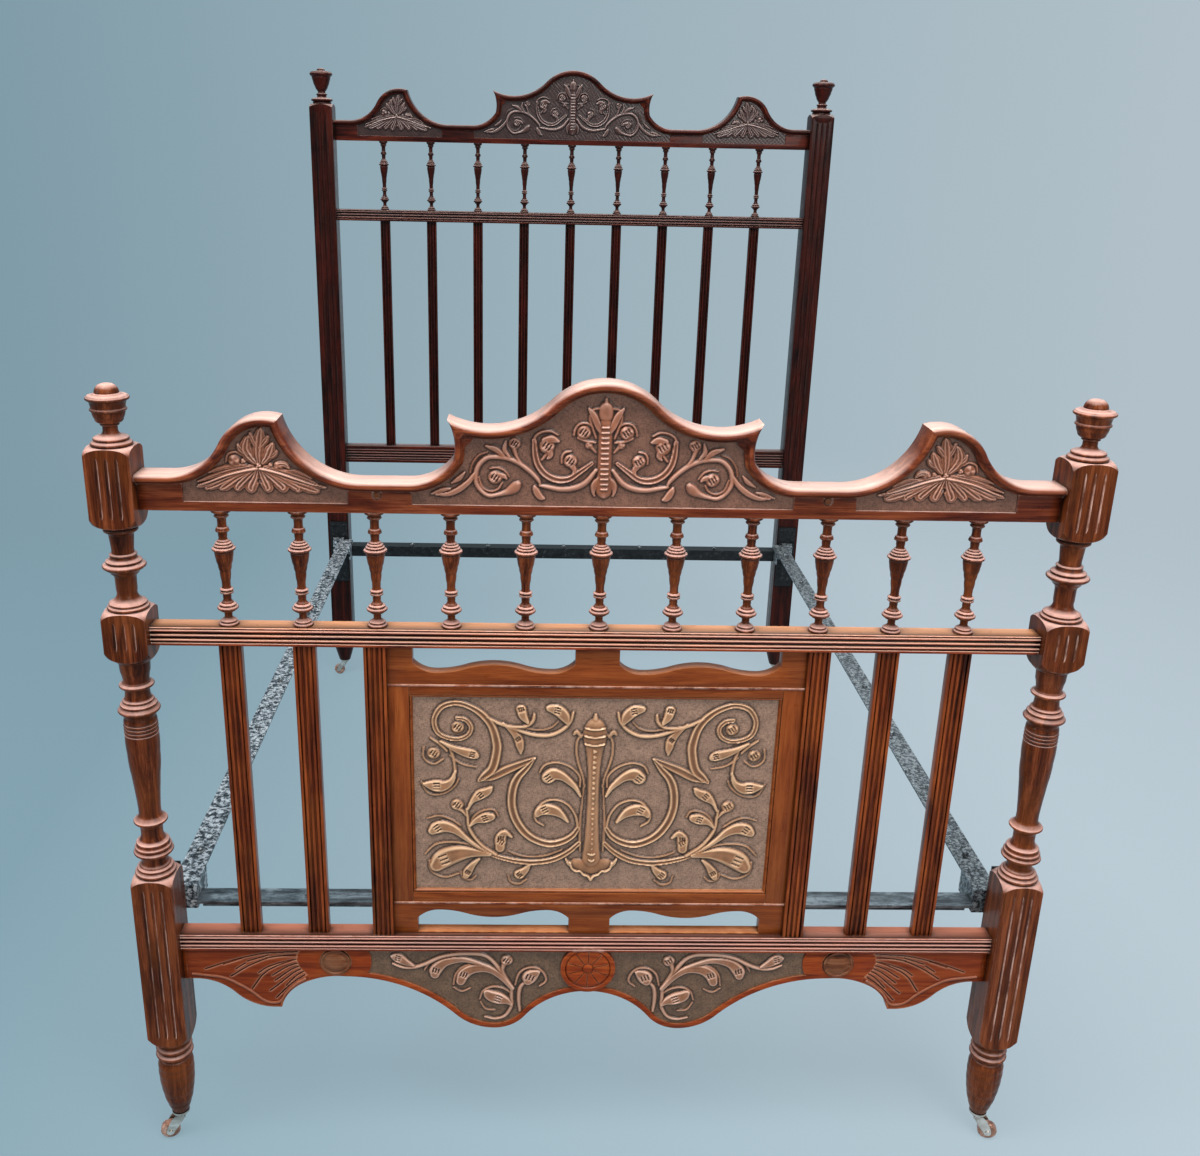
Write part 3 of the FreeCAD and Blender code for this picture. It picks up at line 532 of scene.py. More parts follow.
def carvedTile(name, xs, zs, height, keep, faceY, backY):
    # the grid raised by its heights, trimmed to what is kept, with walls to a flat back
    piece, j, i = gridPiece(name, len(xs), len(zs))
    mesh = piece.data
    places = np.stack([xs[j], faceY - height[i, j], zs[i]], axis=1) * mm
    mesh.vertices.foreach_set("co", places.ravel())
    soft, crisp = blurred(height), blurred(height, 2, 1)
    border = np.clip((0.94 - blurred(keep.astype(float), 2, 1)) * 1.5, 0, 0.8)
    upward = -np.gradient(height, zs[1] - zs[0], axis=0)
    # proud and upper feed a painted highlight; hollow, with the border, a painted shade in recesses and along the
    # trimmed edge, partly dirt
    for label, field in (
            ("raised", height / 5.0),
            ("proud", np.clip((height - soft) / 1.4, 0, 1) * 0.5 + np.clip((height - crisp) / 0.4, 0, 1) * 0.5),
            ("hollow", (soft - height) / 2.6 + (crisp - height) / 0.9 + border),
            ("upper", upward * 1.3 + 0.1)):
        writeValues(mesh, label, "POINT", np.clip(field, 0, 1)[i, j])
    corners = np.empty(len(mesh.loops), int)
    mesh.loops.foreach_get("vertex_index", corners)
    out = ~keep[i, j][corners].reshape(-1, 4).all(1)
    bpy.ops.object.mode_set(mode="EDIT")
    bpy.ops.mesh.select_mode(type="FACE")
    bpy.ops.object.mode_set(mode="OBJECT")
    mesh.polygons.foreach_set("select", out)
    bpy.ops.object.mode_set(mode="EDIT")
    if out.any():
        bpy.ops.mesh.delete(type="FACE")
    bpy.ops.mesh.select_mode(type="EDGE")
    bpy.ops.mesh.select_all(action="DESELECT")
    bpy.ops.mesh.select_non_manifold(extend=False, use_wire=False, use_multi_face=False,
                                     use_non_contiguous=False, use_verts=False)
    bpy.ops.mesh.extrude_edges_move(TRANSFORM_OT_translate={"value": (0, 0.02, 0)})
    bpy.ops.transform.resize(value=(1, 0, 1), center_override=(0, backY * mm, 0))
    bpy.ops.mesh.select_all(action="SELECT")
    bpy.ops.mesh.fill_holes(sides=0)
    bpy.ops.mesh.normals_make_consistent(inside=False)
    bpy.ops.object.mode_set(mode="OBJECT")
    bpy.ops.object.shade_smooth_by_angle(angle=math.radians(75))
    return piece


def gridLines(x0, x1, z0, z1, cell):
    return (np.linspace(x0, x1, round((x1 - x0) / cell) + 1),
            np.linspace(z0, z1, round((z1 - z0) / cell) + 1))


# finishes
def finishTree(name, roughness=0.45, metallic=0.0, coat=0.0):
    material = bpy.data.materials.new(name)
    material.use_nodes = True
    tree = material.node_tree
    shader = tree.nodes["Principled BSDF"]
    shader.inputs["Roughness"].default_value = roughness
    shader.inputs["Metallic"].default_value = metallic
    shader.inputs["Coat Weight"].default_value = coat
    shader.inputs["Coat Roughness"].default_value = 0.22
    return material, tree, shader


def addNode(tree, kind, **settings):
    node = tree.nodes.new("ShaderNode" + kind)
    for key, value in settings.items():
        if key in node.inputs.keys():
            node.inputs[key].default_value = value
        else:
            setattr(node, key, value)
    return node


def noiseAt(tree, scale, detail=4.0, rough=0.55, stretch=(1, 1, 1), distortion=0.0, offset=(0, 0, 0)):
    where = addNode(tree, "TexCoord")
    place = addNode(tree, "Mapping")
    place.inputs["Scale"].default_value = stretch
    place.inputs["Location"].default_value = offset
    noise = addNode(tree, "TexNoise", Scale=scale, Detail=detail, Roughness=rough, Distortion=distortion)
    tree.links.new(where.outputs["Object"], place.inputs["Vector"])
    tree.links.new(place.outputs["Vector"], noise.inputs["Vector"])
    return noise.outputs["Fac"]


def ramped(tree, value, stops):
    ramp = addNode(tree, "ValToRGB")
    while len(ramp.color_ramp.elements) < len(stops):
        ramp.color_ramp.elements.new(0.5)
    for element, (place, shade) in zip(ramp.color_ramp.elements, stops):
        element.position = place
        element.color = (*shade, 1) if isinstance(shade, tuple) else (shade, shade, shade, 1)
    tree.links.new(value, ramp.inputs["Fac"])
    return ramp.outputs["Color"]


def feed(tree, socket, value):
    # a socket takes another node's output, a colour or a number
    if isinstance(value, bpy.types.NodeSocket):
        tree.links.new(value, socket)
    else:
        socket.default_value = (*value, 1) if isinstance(value, tuple) else value


def mixed(tree, factor, a, b):
    mix = addNode(tree, "Mix", data_type="RGBA")
    for socket, value in ((mix.inputs[0], factor), (mix.inputs[6], a), (mix.inputs[7], b)):
        feed(tree, socket, value)
    return mix.outputs[2]


def mathOf(tree, operation, a, b=0.0, clamp=False):
    node = addNode(tree, "Math", operation=operation, use_clamp=clamp)
    for socket, value in zip(node.inputs, (a, b)):
        feed(tree, socket, value)
    return node.outputs[0]


def times(tree, a, b, clamp=False):
    return mathOf(tree, "MULTIPLY", a, b, clamp)


def crevices(tree, distance, inside=False):
    return addNode(tree, "AmbientOcclusion", samples=6, inside=inside, Distance=distance).outputs["AO"]


def marked(tree, label):
    return addNode(tree, "Attribute", attribute_name=label).outputs["Fac"]


def scaled(shade, gain):
    return tuple(c * gain for c in shade)


def roughSurface(tree, shader, value, strength, distance):
    bump = addNode(tree, "Bump", Strength=strength, Distance=distance)
    tree.links.new(value, bump.inputs["Height"])
    tree.links.new(bump.outputs["Normal"], shader.inputs["Normal"])


def srgb(code):
    parts = [int(code[k:k + 2], 16) / 255 for k in (0, 2, 4)]
    return tuple(p / 12.92 if p <= 0.04045 else ((p + 0.055) / 1.055) ** 2.4 for p in parts)


def walnutFinish(name, shades, grain, dirtAndShade, edgeWearAndHighlight, wearAndHighlightShade, blotch, blotchShare, top, topHighlightShare, coat,
                 glintShare=0.9, proud=0.30):
    # polished walnut: long figure, fine fibres, open pores; corners darkened by dirt and painted shade, pale edges of
    # wear and painted highlight, painted highlight on tops, painted glints and shade on reeds and flutes
    material, tree, shader = finishTree(name, 0.34, 0.0, coat)
    shader.inputs["Coat Roughness"].default_value = 0.09
    shader.inputs["Coat IOR"].default_value = 1.34
    shader.inputs["Specular IOR Level"].default_value = 0.06 + 0.12 * coat
    along = {"X": (0.07, 1, 1), "Z": (1, 1, 0.07)}[grain]
    fine = {"X": (0.03, 1, 1), "Z": (1, 1, 0.03)}[grain]
    figure = noiseAt(tree, 70, 5, 0.6, along, 0.8)
    fibres = noiseAt(tree, 700, 3, 0.6, fine, 0.2)
    both = mathOf(tree, "ADD", times(tree, figure, 0.72), times(tree, fibres, 0.28))
    dark, mid, light = (srgb(shade) for shade in shades)
    # pale shade for worn edges and for painted highlights
    wearAndHighlight = srgb(wearAndHighlightShade)
    black = scaled(dark, 0.2)
    colour = ramped(tree, both, [(0.36, dark), (0.50, mid), (0.63, light)])
    patches = ramped(tree, noiseAt(tree, 11, 3, 0.6), [(0.46, 0.0), (0.68, 1.0)])
    colour = mixed(tree, times(tree, patches, blotchShare), colour, srgb(blotch))
    pores = ramped(tree, noiseAt(tree, 1100, 2, 0.5, fine, 0.0, (3, 1, 2)), [(0.60, 0.0), (0.70, 1.0)])
    colour = mixed(tree, times(tree, pores, 0.45), colour, scaled(dark, 0.25))
    # painted highlight: faces that look up take the pale top shade
    paintedTopLight = mathOf(tree, "POWER", marked(tree, "paintedTopLight"), 1.5)
    topHighlight = mixed(tree, ramped(tree, both, [(0.36, 0.0), (0.63, 1.0)]), scaled(srgb(top), 0.72), srgb(top))
    colour = mixed(tree, times(tree, paintedTopLight, topHighlightShare), colour, topHighlight)
    # corners and recesses darkened: dirt and painted shade
    dirtAndShadeMask = ramped(tree, crevices(tree, 0.014), [(0.40, 1.0), (0.90, 0.0)])
    colour = mixed(tree, times(tree, dirtAndShadeMask, dirtAndShade), colour, scaled(dark, 0.3))
    # pale edges: wear, and a painted highlight on thin lips
    edges = ramped(tree, crevices(tree, 0.0028, True), [(0.42, 1.0), (0.72, 0.0)])
    edges = times(tree, edges, ramped(tree, noiseAt(tree, 60, 4, 0.6), [(0.38, 0.1), (0.62, 1.0)]))
    colour = mixed(tree, times(tree, edges, edgeWearAndHighlight), colour, wearAndHighlight)
    # painted glint on reed flanks and flute walls, painted shade in the gaps
    paintedGlintShade = marked(tree, "paintedGlintShade")
    if grain == "Z":         # the painted light on the flutes' walls comes and goes
        breaks = noiseAt(tree, 38, 4, 0.65, (1, 1, 0.5))
        paintedGlintShade = times(tree, paintedGlintShade, ramped(tree, breaks, [(0.40, 0.1), (0.60, 1.0)]))
    colour = mixed(tree, times(tree, paintedGlintShade, glintShare, True), colour, wearAndHighlight)
    colour = mixed(tree, times(tree, paintedGlintShade, -0.95, True), colour, black)
    # painted shade in hollows, painted highlight on proud parts
    for label, share, shade in (("hollow", 0.9, black), ("proud", proud, wearAndHighlight)):
        colour = mixed(tree, times(tree, marked(tree, label), share), colour, shade)
    tree.links.new(colour, shader.inputs["Base Color"])
    gloss = ramped(tree, noiseAt(tree, 45, 4, 0.6), [(0.3, 0.26), (0.7, 0.42)])
    tree.links.new(gloss, shader.inputs["Roughness"])
    roughSurface(tree, shader, both, 0.22, 0.0005)
    return material


def carvedFinish(name, ground, pit, raisedShade, proudShade, glow, even):
    # carving: finely punched ground; recesses darkened with dirt and painted shade; a painted highlight where it stands
    # up, strongest on flanks that face up
    material, tree, shader = finishTree(name, 0.42, 0.0, 0.4)
    shader.inputs["Coat Roughness"].default_value = 0.14
    shader.inputs["Specular IOR Level"].default_value = 0.2
    ground, pit, lifted, proudShade = (srgb(shade) for shade in (ground, pit, raisedShade, proudShade))
    raised, hollow, proud, upper = (marked(tree, label) for label in ("raised", "hollow", "proud", "upper"))
    weave = mathOf(tree, "ADD", times(tree, noiseAt(tree, 620, 2, 0.5, (1, 1, 0.35)), 0.5),
                   times(tree, noiseAt(tree, 620, 2, 0.5, (0.35, 1, 1), 0.0, (4, 0, 2)), 0.5))
    mottle = noiseAt(tree, 60, 4, 0.6)
    base = ramped(tree, mottle, [(0.34, scaled(ground, 0.84)), (0.50, ground), (0.68, scaled(ground, 1.22))])
    base = mixed(tree, ramped(tree, weave, [(0.40, 0.42), (0.52, 0.0)]), base, pit)
    lifted = ramped(tree, noiseAt(tree, 90, 4, 0.6, (1, 1, 0.6)),
                    [(0.35, scaled(lifted, 0.8)), (0.65, scaled(lifted, 1.2))])
    colour = mixed(tree, ramped(tree, raised, [(0.10, 0.0), (0.45, 0.9)]), base, lifted)
    # recesses darkened: dirt and painted shade
    colour = mixed(tree, times(tree, hollow, 0.9), colour, scaled(pit, 0.45))
    # painted highlight on what stands up, strongest where it faces up
    bright = times(tree, proud, ramped(tree, raised, [(0.3, 0.0), (0.8, 1.0)]))
    bright = times(tree, bright, mathOf(tree, "ADD", times(tree, upper, 1 - even), even))
    colour = mixed(tree, times(tree, bright, glow, True), colour, proudShade)
    tree.links.new(colour, shader.inputs["Base Color"])
    tree.links.new(ramped(tree, mottle, [(0.3, 0.30), (0.7, 0.46)]), shader.inputs["Roughness"])
    roughSurface(tree, shader, weave, 0.5, 0.0007)
    return material


def metalFinish(name, stops, scale, roughness, metallic, bump, spots, dirtAndShade=0.6, stretch=(1, 1, 1)):
    # mottled metal with dark flecks, its corners darkened with dirt and painted shade
    material, tree, shader = finishTree(name, 0.45, metallic)
    mottle = noiseAt(tree, scale, 6, 0.7, stretch, 0.4)
    colour = ramped(tree, mottle, [(place, srgb(shade)) for place, shade in stops])
    if spots:
        flecks = ramped(tree, noiseAt(tree, scale * 1.9, 3, 0.6, offset=(5, 2, 1)), [(0.56, 0.0), (0.62, 1.0)])
        colour = mixed(tree, times(tree, flecks, spots), colour, srgb("17191b"))
    # corners darkened: dirt and painted shade
    dirtAndShadeMask = ramped(tree, crevices(tree, 0.010), [(0.3, 1.0), (0.8, 0.0)])
    colour = mixed(tree, times(tree, dirtAndShadeMask, dirtAndShade), colour, srgb("121314"))
    tree.links.new(colour, shader.inputs["Base Color"])
    gloss = ramped(tree, mottle, [(0.3, roughness[0]), (0.7, roughness[1])])
    tree.links.new(gloss, shader.inputs["Roughness"])
    roughSurface(tree, shader, mottle, bump, 0.0005)
    return material


walnuts = {              # shades, grain, dirt and painted shade in corners, edge wear and painted highlight, pale shade for wear and painted highlights, blotch and share, painted top highlight and share, coat, painted glint on reeds, painted highlight on proud parts
    "footPost": (("260b03", "56260f", "824426"), "Z", 0.95, 0.6, "e6bcac", "713b15", 0.45, "f2c0b2", 0.85, 0.2, 0.85),
    "footUpright": (("240a03", "6c2d10", "984a1f"), "Z", 0.9, 0.5, "c48a66", "9a5020", 0.4, "b5704f", 0.5, 0.3),
    "footRail": (("1e0602", "782c12", "aa522b"), "X", 0.95, 0.45, "e6bcac", "a85028", 0.3, "ffb482", 1.0, 0.22),
    "footLowRail": (("1a0402", "742a12", "a04c2a"), "X", 0.9, 0.4, "e2b8aa", "984626", 0.3, "d88c72", 0.95, 0.22),
    "footApron": (("561c07", "863410", "a14b1c"), "X", 0.75, 0.5, "dca078", "95451a", 0.3, "b5704f", 0.5, 0.25),
    "footFan": (("521a06", "7a2f0f", "90421a"), "X", 0.8, 0.0, "e6b494", "843a14", 0.3, "b5704f", 0.5, 0.25, 0.9, 0.4),
    "footDisc": (("351708", "6b3a20", "8e5f42"), "X", 0.98, 0.4, "c49a80", "785038", 0.5, "b5704f", 0.5, 0.25),
    "footFrame": (("5c2509", "7d3c17", "8f4c21"), "X", 0.85, 0.45, "d8a070", "86441c", 0.4, "c0784a", 0.7, 0.3),
    "footStile": (("5c2509", "7d3c17", "8f4c21"), "Z", 0.85, 0.45, "d8a070", "86441c", 0.4, "b5704f", 0.5, 0.3),
    "footCrest": (("340e05", "612814", "8a482a"), "X", 0.9, 0.6, "f0c8b8", "7a3e1c", 0.4, "ffd4c4", 0.85, 0.3),
    "headPost": (("0a0100", "280b05", "42150c"), "Z", 0.9, 0.4, "b89890", "48120a", 0.3, "dcb8ae", 0.7, 0.22, 0.3),
    "headRail": (("0a0100", "360e07", "582010"), "X", 0.95, 0.45, "bc9890", "50200e", 0.35, "c8a298", 0.7, 0.2, 0.32),
}
carvings = {             # ground, pit, raised and proud shades (the proud one a painted highlight), the last one's strength, and its share on lower flanks
    "footCarving": ("977865", "3e2617", "8c5c3a", "ecc29a", 1.0, 0.6),
    "crestCarving": ("785444", "3a1e10", "884e32", "e8b8a4", 0.9, 0.35),
    "apronCarving": ("6e5440", "2c180c", "8a5636", "ecc2ac", 0.9, 0.5),
    "headCarving": ("34201c", "0e0402", "36170f", "d8beb6", 1.0, 0.08),
}
metals = {               # shades, noise scale, roughness, metallic, bump, spots, dirt and painted shade in corners, stretch
    "paleIron": ([(0.43, "252c33"), (0.50, "87929a"), (0.56, "cdd5da")], 115, (0.35, 0.6), 0.45, 0.5, 0.9),
    "greyIron": ([(0.42, "262b2f"), (0.50, "6d767b"), (0.58, "a9b2b6")], 170, (0.35, 0.6), 0.5, 0.5, 0.7),
    "crossIron": ([(0.38, "3a4146"), (0.50, "69747a"), (0.62, "9fabb2")], 60, (0.3, 0.5), 0.6, 0.3, 0.3, 0.5,
                  (0.25, 1, 1)),
    "blackIron": ([(0.35, "0c0d0f"), (0.6, "25282b"), (0.75, "6a6d70")], 80, (0.35, 0.6), 0.6, 0.4, 0.2),
    "castorMetal": ([(0.3, "8f8178"), (0.5, "cbc0b6"), (0.68, "f6eee6")], 34, (0.12, 0.24), 0.9, 0.1, 0.0, 0.5),
    "castorTread": ([(0.35, "6a4638"), (0.55, "a87c68"), (0.7, "e0c0b0")], 60, (0.16, 0.28), 0.2, 0.15, 0.0, 0.5),
}
finish = {name: walnutFinish(name + "Walnut", *values) for name, values in walnuts.items()}
finish.update({name: carvedFinish(name, *values) for name, values in carvings.items()})
finish.update({name: metalFinish(name, *values) for name, values in metals.items()})
print("finishes mixed")

# posts and finials: (height, radius, bow) from the floor
# the last value caps the painted highlight on a flute's wall
footPost = {"side": 64.0, "arris": 1.4, "fluteRadius": 2.9, "fluteDepth": 1.6, "fluteStep": 14.0, "wearAndHighlight": 0.75}
headPost = dict(footPost, side=62.0, fluteRadius=4.0, fluteDepth=2.15, wearAndHighlight=0.12)
footPostTurning = [
    (54.0, 11.4), (58, 14.6, 0.12), (66, 17.4), (75, 19.8, 0.03), (95, 24.2, 0.04), (112, 26.8, 0.03),
    (132, 28.2, 0.03), (150, 28.3, 0.04), (162, 27, 0.08), (168, 24.6, 0.1), (170, 24.2), (172, 24.8), (174, 27.4),
    (180.5, 27.8, 0.4), (182.5, 25.4), (185, 25.2), (187, 26.8), (193, 27, 0.4), (195, 25), (199, 24.8, -0.1),
    (209, 32), (215, 39.5, 0.08), (226, 46), (509, 46), (519, 40, 0.08), (524, 32, 0.05), (525, 29.2), (526.5, 29.6),
    (531.5, 29.4, 0.38), (533, 27.4), (534.5, 26.4), (538.5, 26, 0.38), (540, 23.8), (542, 22.8),
    (550.5, 19.4, -0.16), (556, 20.4, -0.1), (558.5, 22.4, -0.1), (560.5, 25.4), (562.5, 28.2), (567.5, 28.6, 0.4),
    (569.3, 27), (571, 26.6), (575.5, 26.2, 0.38), (577.5, 24.6), (579.5, 24.2), (583, 23.4, 0.36), (585, 20),
    (590, 18, -0.1), (597, 16.7, -0.05), (606, 16.9), (611, 19, -0.12), (613, 20.6), (614.5, 21.2), (616.5, 23.4),
    (621.5, 23.8, 0.42), (623.5, 21.4), (626, 19.4), (632, 16.9, -0.1), (641, 16.7), (665, 18.4), (701, 21.6),
    (736, 24.1, 0.02), (766, 25, 0.02), (768.8, 25), (770.3, 22.8), (771.8, 24.6), (773.3, 25.2, 0.2), (774.8, 24.6),
    (776.3, 22.8), (777.8, 24.6), (779.3, 25.2, 0.2), (780.8, 24.6), (782.3, 22.8), (783.8, 24.6), (785.3, 25.2, 0.2),
    (786.8, 24.6), (788.3, 22.8), (789.8, 24.6), (793, 24.2), (797, 22.8), (800, 23.4), (802.5, 25.4, -0.1),
    (804.5, 27.6), (806.5, 29), (811.5, 29.4, 0.35), (813, 27.8), (814.2, 26.6), (815.4, 25.6), (819.6, 25.4, 0.38),
    (820.8, 23.6), (822.4, 21.8), (826, 21.6, 0.38), (827.2, 20), (831, 18.8, -0.1), (836, 18.2), (841, 18.2),
    (844.5, 19.8, -0.12), (846, 21.6), (847, 23.6), (851.5, 23.7, 0.42), (853, 20.6), (855.5, 18.9),
    (862, 19.6, -0.03), (872, 21.8, -0.03), (886, 22.6), (888.4, 22.8), (889, 25.4), (890.5, 26.2), (896, 32, 0.05),
    (902, 40, 0.1), (912, 46), (958, 46), (967, 40, 0.08), (971, 32, 0.05), (971.8, 28), (976.5, 28.2, 0.4),
    (978, 26), (981.5, 25.6, 0.36), (983, 23.4), (1000, 15, -0.2), (1018, 15.2), (1026, 20, -0.12),
    (1031, 24.5, -0.1), (1033, 27.5), (1034.5, 29), (1039.5, 29, 0.35), (1040.5, 26.5), (1041.5, 24), (1043, 24.2),
    (1046, 24.2, 0.4), (1047, 21.5), (1050, 18.6, -0.15), (1052.5, 18.2), (1055.5, 18.2, 0.4), (1056.5, 16),
    (1062, 15.6), (1083, 17.5), (1087, 20, -0.15), (1089, 22.5), (1094, 22.8, 0.35), (1095.5, 21), (1096.5, 25),
    (1099, 31, 0.06), (1105, 40, 0.1), (1115, 46), (1200, 46), (1210, 40, 0.08), (1214, 32, 0.05), (1214, 0.1),
]
headPostTurning = [(54.0, 17), (150, 44.6), (1696, 44.6), (1705, 31), (1705, 0.1)]
footFinialTurning = [
    (1213.9, 24), (1214.0, 27), (1219, 27.3, 0.3), (1220, 25.5), (1221.5, 23.5), (1225.5, 23.5, 0.3), (1227, 20.5),
    (1238, 10.4, -0.25), (1241, 10), (1242, 12), (1245, 12.2, 0.35), (1245.8, 13.4), (1252, 19.6, 0.2),
    (1262, 22.6, 0.06), (1262.8, 23.8), (1266.4, 24, 0.35), (1267.4, 23.2), (1274, 24.4), (1276.5, 25.6),
    (1278, 27.8), (1282.5, 28, 0.4), (1284, 26.4), (1287, 18.4, -0.1), (1287.6, 16.8), (1299.6, 0.1, 0.25),
]
headFinialTurning = [
    (1704.9, 22), (1705, 24), (1709, 24.6, 0.2), (1710.5, 23.6), (1712, 26.6), (1718, 27, 0.38), (1719.5, 24),
    (1721, 15), (1726, 12.6, -0.15), (1727.5, 13.6), (1731.5, 13.4, 0.35), (1733, 10.2), (1737, 10),
    (1741, 13.4, 0.08), (1750, 17.8, 0.06), (1763, 22.4, 0.05), (1773, 25.2, 0.04), (1774, 24.8), (1775.5, 27.2),
    (1777, 28.2), (1784.5, 28.6, 0.3), (1787, 26.8), (1788.6, 20, -0.05), (1789.2, 11.5), (1795, 0.1, 0.25),
]


def fluteCutters(spans, spec):
    # three round-nosed rods in each span, sunk into the post's front
    cutters = []
    r = spec["fluteRadius"]
    for low, high in spans:
        for number in (-1, 0, 1):
            profile = [(low, 0.1), (low + 11, r, 0.05), (high - 11, r), (high, 0.1, 0.05)]
            cutter = turnOnLathe("flute", profile, 18)
            cutter.data.transform(Matrix.Rotation(0.13 + number * 0.05, 4, "Z"))
            cutter.data.transform(shifted(number * spec["fluteStep"], -spec["side"] / 2 - r + spec["fluteDepth"]))
            cutters.append(cutter)
    return joined("flutes", cutters)


def squaredPost(name, turning, spans, spec):
    # turned over its whole length, then cut square and fluted; rotated a little, so that no seam lies on a face
    post = turnOnLathe(name, turning, 72)
    post.data.transform(Matrix.Rotation(math.radians(2.1), 4, "Z"))
    half = spec["side"] / 2
    bar = blockOf("bar", -half, half, -half, half, turning[0][0] - 1, turning[-1][0] + 1, spec["arris"])
    cutWith(post, bar, "INTERSECT")
    cutWith(post, fluteCutters(spans, spec))
    tidyMesh(post, 28)
    markFlutes(post.data, -half, spec, spans)
    return post


footMaster = squaredPost("footPostMaster", footPostTurning, ((222, 511), (910, 961), (1110, 1205)), footPost)
headMaster = squaredPost("headPostMaster", headPostTurning, ((560, 1688),), headPost)
for board, master, turning, y, look in (
        ("foot", footMaster, footFinialTurning, footY, "footPost"),
        ("head", headMaster, headFinialTurning, headY, "headPost")):
    finial = turnOnLathe(board + "FinialMaster", turning, 56, 1.0)
    for label, side in sides:
        place = shifted(side * halfSpacing, y)
        settle(copied(master, board + "Post_" + label, place), finish[look],
               [board + "_post_" + label])
        settle(copied(finial, board + "Finial_" + label, place), finish[look],
               [board + "_finial_" + label])
    bpy.data.objects.remove(master)
    bpy.data.objects.remove(finial)
print("posts and finials turned")

# spindles: (height, radius, bow) from the rail
spindleTurning = [
    (0, 13.4), (3.6, 13.4, 0.35), (4.4, 11.6), (5, 11.2), (8, 11, 0.35), (8.8, 9), (10, 8), (15.5, 5.8, -0.2),
    (20, 7.6, -0.18), (21, 9.4), (22, 11), (23.5, 11), (24.4, 13.6), (28.6, 13.6, 0.42), (29.4, 11.8), (30, 11.4),
    (33.2, 11, 0.4), (34, 9), (36, 8), (43, 6.2, -0.16), (48, 6.6, -0.08), (48.8, 8.6), (51.8, 8.6, 0.42), (52.6, 7),
    (53.4, 8.6), (56.4, 8.6, 0.42), (57.2, 6.8), (62, 6.2, -0.05), (68, 6.4), (83, 8, 0.03), (93, 10, 0.04),
    (103, 12.4, 0.04), (112, 13.6, 0.03), (113, 12.6), (114.2, 12.8), (115, 15.4), (119, 15.4, 0.42), (119.8, 13.2),
    (120.4, 12.8), (123.4, 12.6, 0.4), (124.2, 10.8), (127, 10.6, 0.4), (127.8, 8.6), (130, 8, 0.3), (131, 6.6),
    (136, 6.4, -0.1), (141, 6.6), (142.6, 8.6), (146, 9.4, 0.34), (149, 8.2, 0.1), (150, 6.8), (157, 6.4, -0.02),
    (161, 6.6), (164, 8.6, -0.15), (165, 9.6), (167.5, 9.8, 0.38), (168.4, 9.2), (171, 11.6, -0.1), (172.2, 13.6),
    (174.4, 14.2, 0.2), (176, 14.2),
]
spindles = {
    "foot": {"count": 11, "step": 108.43, "bottom": 947.0, "height": 176.0, "girth": 1.0, "y": footY},
    "head": {"count": 9, "step": headPitch, "bottom": 1430.0, "height": 182.0, "girth": 0.80, "y": headY},
}
for board, s in spindles.items():
    master = turnOnLathe(board + "SpindleMaster", spindleTurning, 40)
    grow = Matrix.Diagonal((s["girth"], s["girth"], s["height"] / spindleTurning[-1][0], 1))
    row = []
    for number in range(s["count"]):
        x = (number - (s["count"] - 1) / 2) * s["step"]
        row.append(copied(master, "spindle", shifted(x, s["y"], s["bottom"]) @ grow))
    bpy.data.objects.remove(master)
    settle(joined(board + "Spindles", row), finish[board + "Post"], [board + "_spindles"])
print("spindles turned")

# rails, slats and uprights
rails = {                # name, height, depth, reeds, margin, rise, quirk, shift, half length, y, middle height, finish
    "foot_mid_rail": ("footMidRail", 29.0, 34.0, 3, 4.6, 3.0, 2.3, 1.5, footHalf, footY, 932.5, "footRail"),
    "foot_bottom_rail": ("footBottomRail", 29.0, 34.0, 3, 4.6, 3.0, 2.3, 1.5, footHalf, footY, 401.5, "footLowRail"),
    "head_mid_rail": ("headMidRail", 30.0, 34.0, 3, 4.8, 3.0, 2.3, 1.5, headHalf, headY, 1415.0, "headRail"),
    "head_low_rail": ("headLowRail", 51.0, 34.0, 4, 10.0, 3.0, 2.0, 0.0, headHalf, headY, 727.5, "headRail"),
}
for node, (name, height, depth, reeds, margin, rise, quirk, shift, half, y, middle, look) in rails.items():
    bar = lyingBar(name, reedSection(height, depth, reeds, margin, rise, quirk, shift), y, middle, -half, half)
    markPaintedReedLight(bar.data, y - depth / 2, rise)
    settle(bar, finish[look], [node])

footSlat = reedSection(33.0, 17.0, 3, 6.0, 2.6, 2.0)
footUpright = reedSection(33.0, 27.0, 3, 6.0, 2.6, 2.0)
headSlat = reedSection(27.0, 15.0, 2, 6.0, 2.4, 2.2)
for label, side in sides:
    for kind, section, x in (
            ("upright", footUpright, 330.0), ("slat_inner", footSlat, 433.7), ("slat_outer", footSlat, 542.15)):
        bar = standingBar("foot_" + kind + "_bar_" + label, section, side * x, footY, 416.0, 918.0)
        settle(bar, finish["footUpright"], ["foot_" + kind + "_" + label])
bars = [standingBar("bar", headSlat, (number - 4) * headPitch, headY, 753.0, 1400.0) for number in range(9)]
settle(joined("headSlats", bars), finish["headPost"], ["head_slats"])
print("rails and bars reeded")

# framed panel
panelFrame = {"front": footY - 6.0, "back": footY + 14.0, "railLow": 416.0, "railHigh": 918.0, "wide": 313.5,
              "stileLow": 473.0, "stileHigh": 854.0}


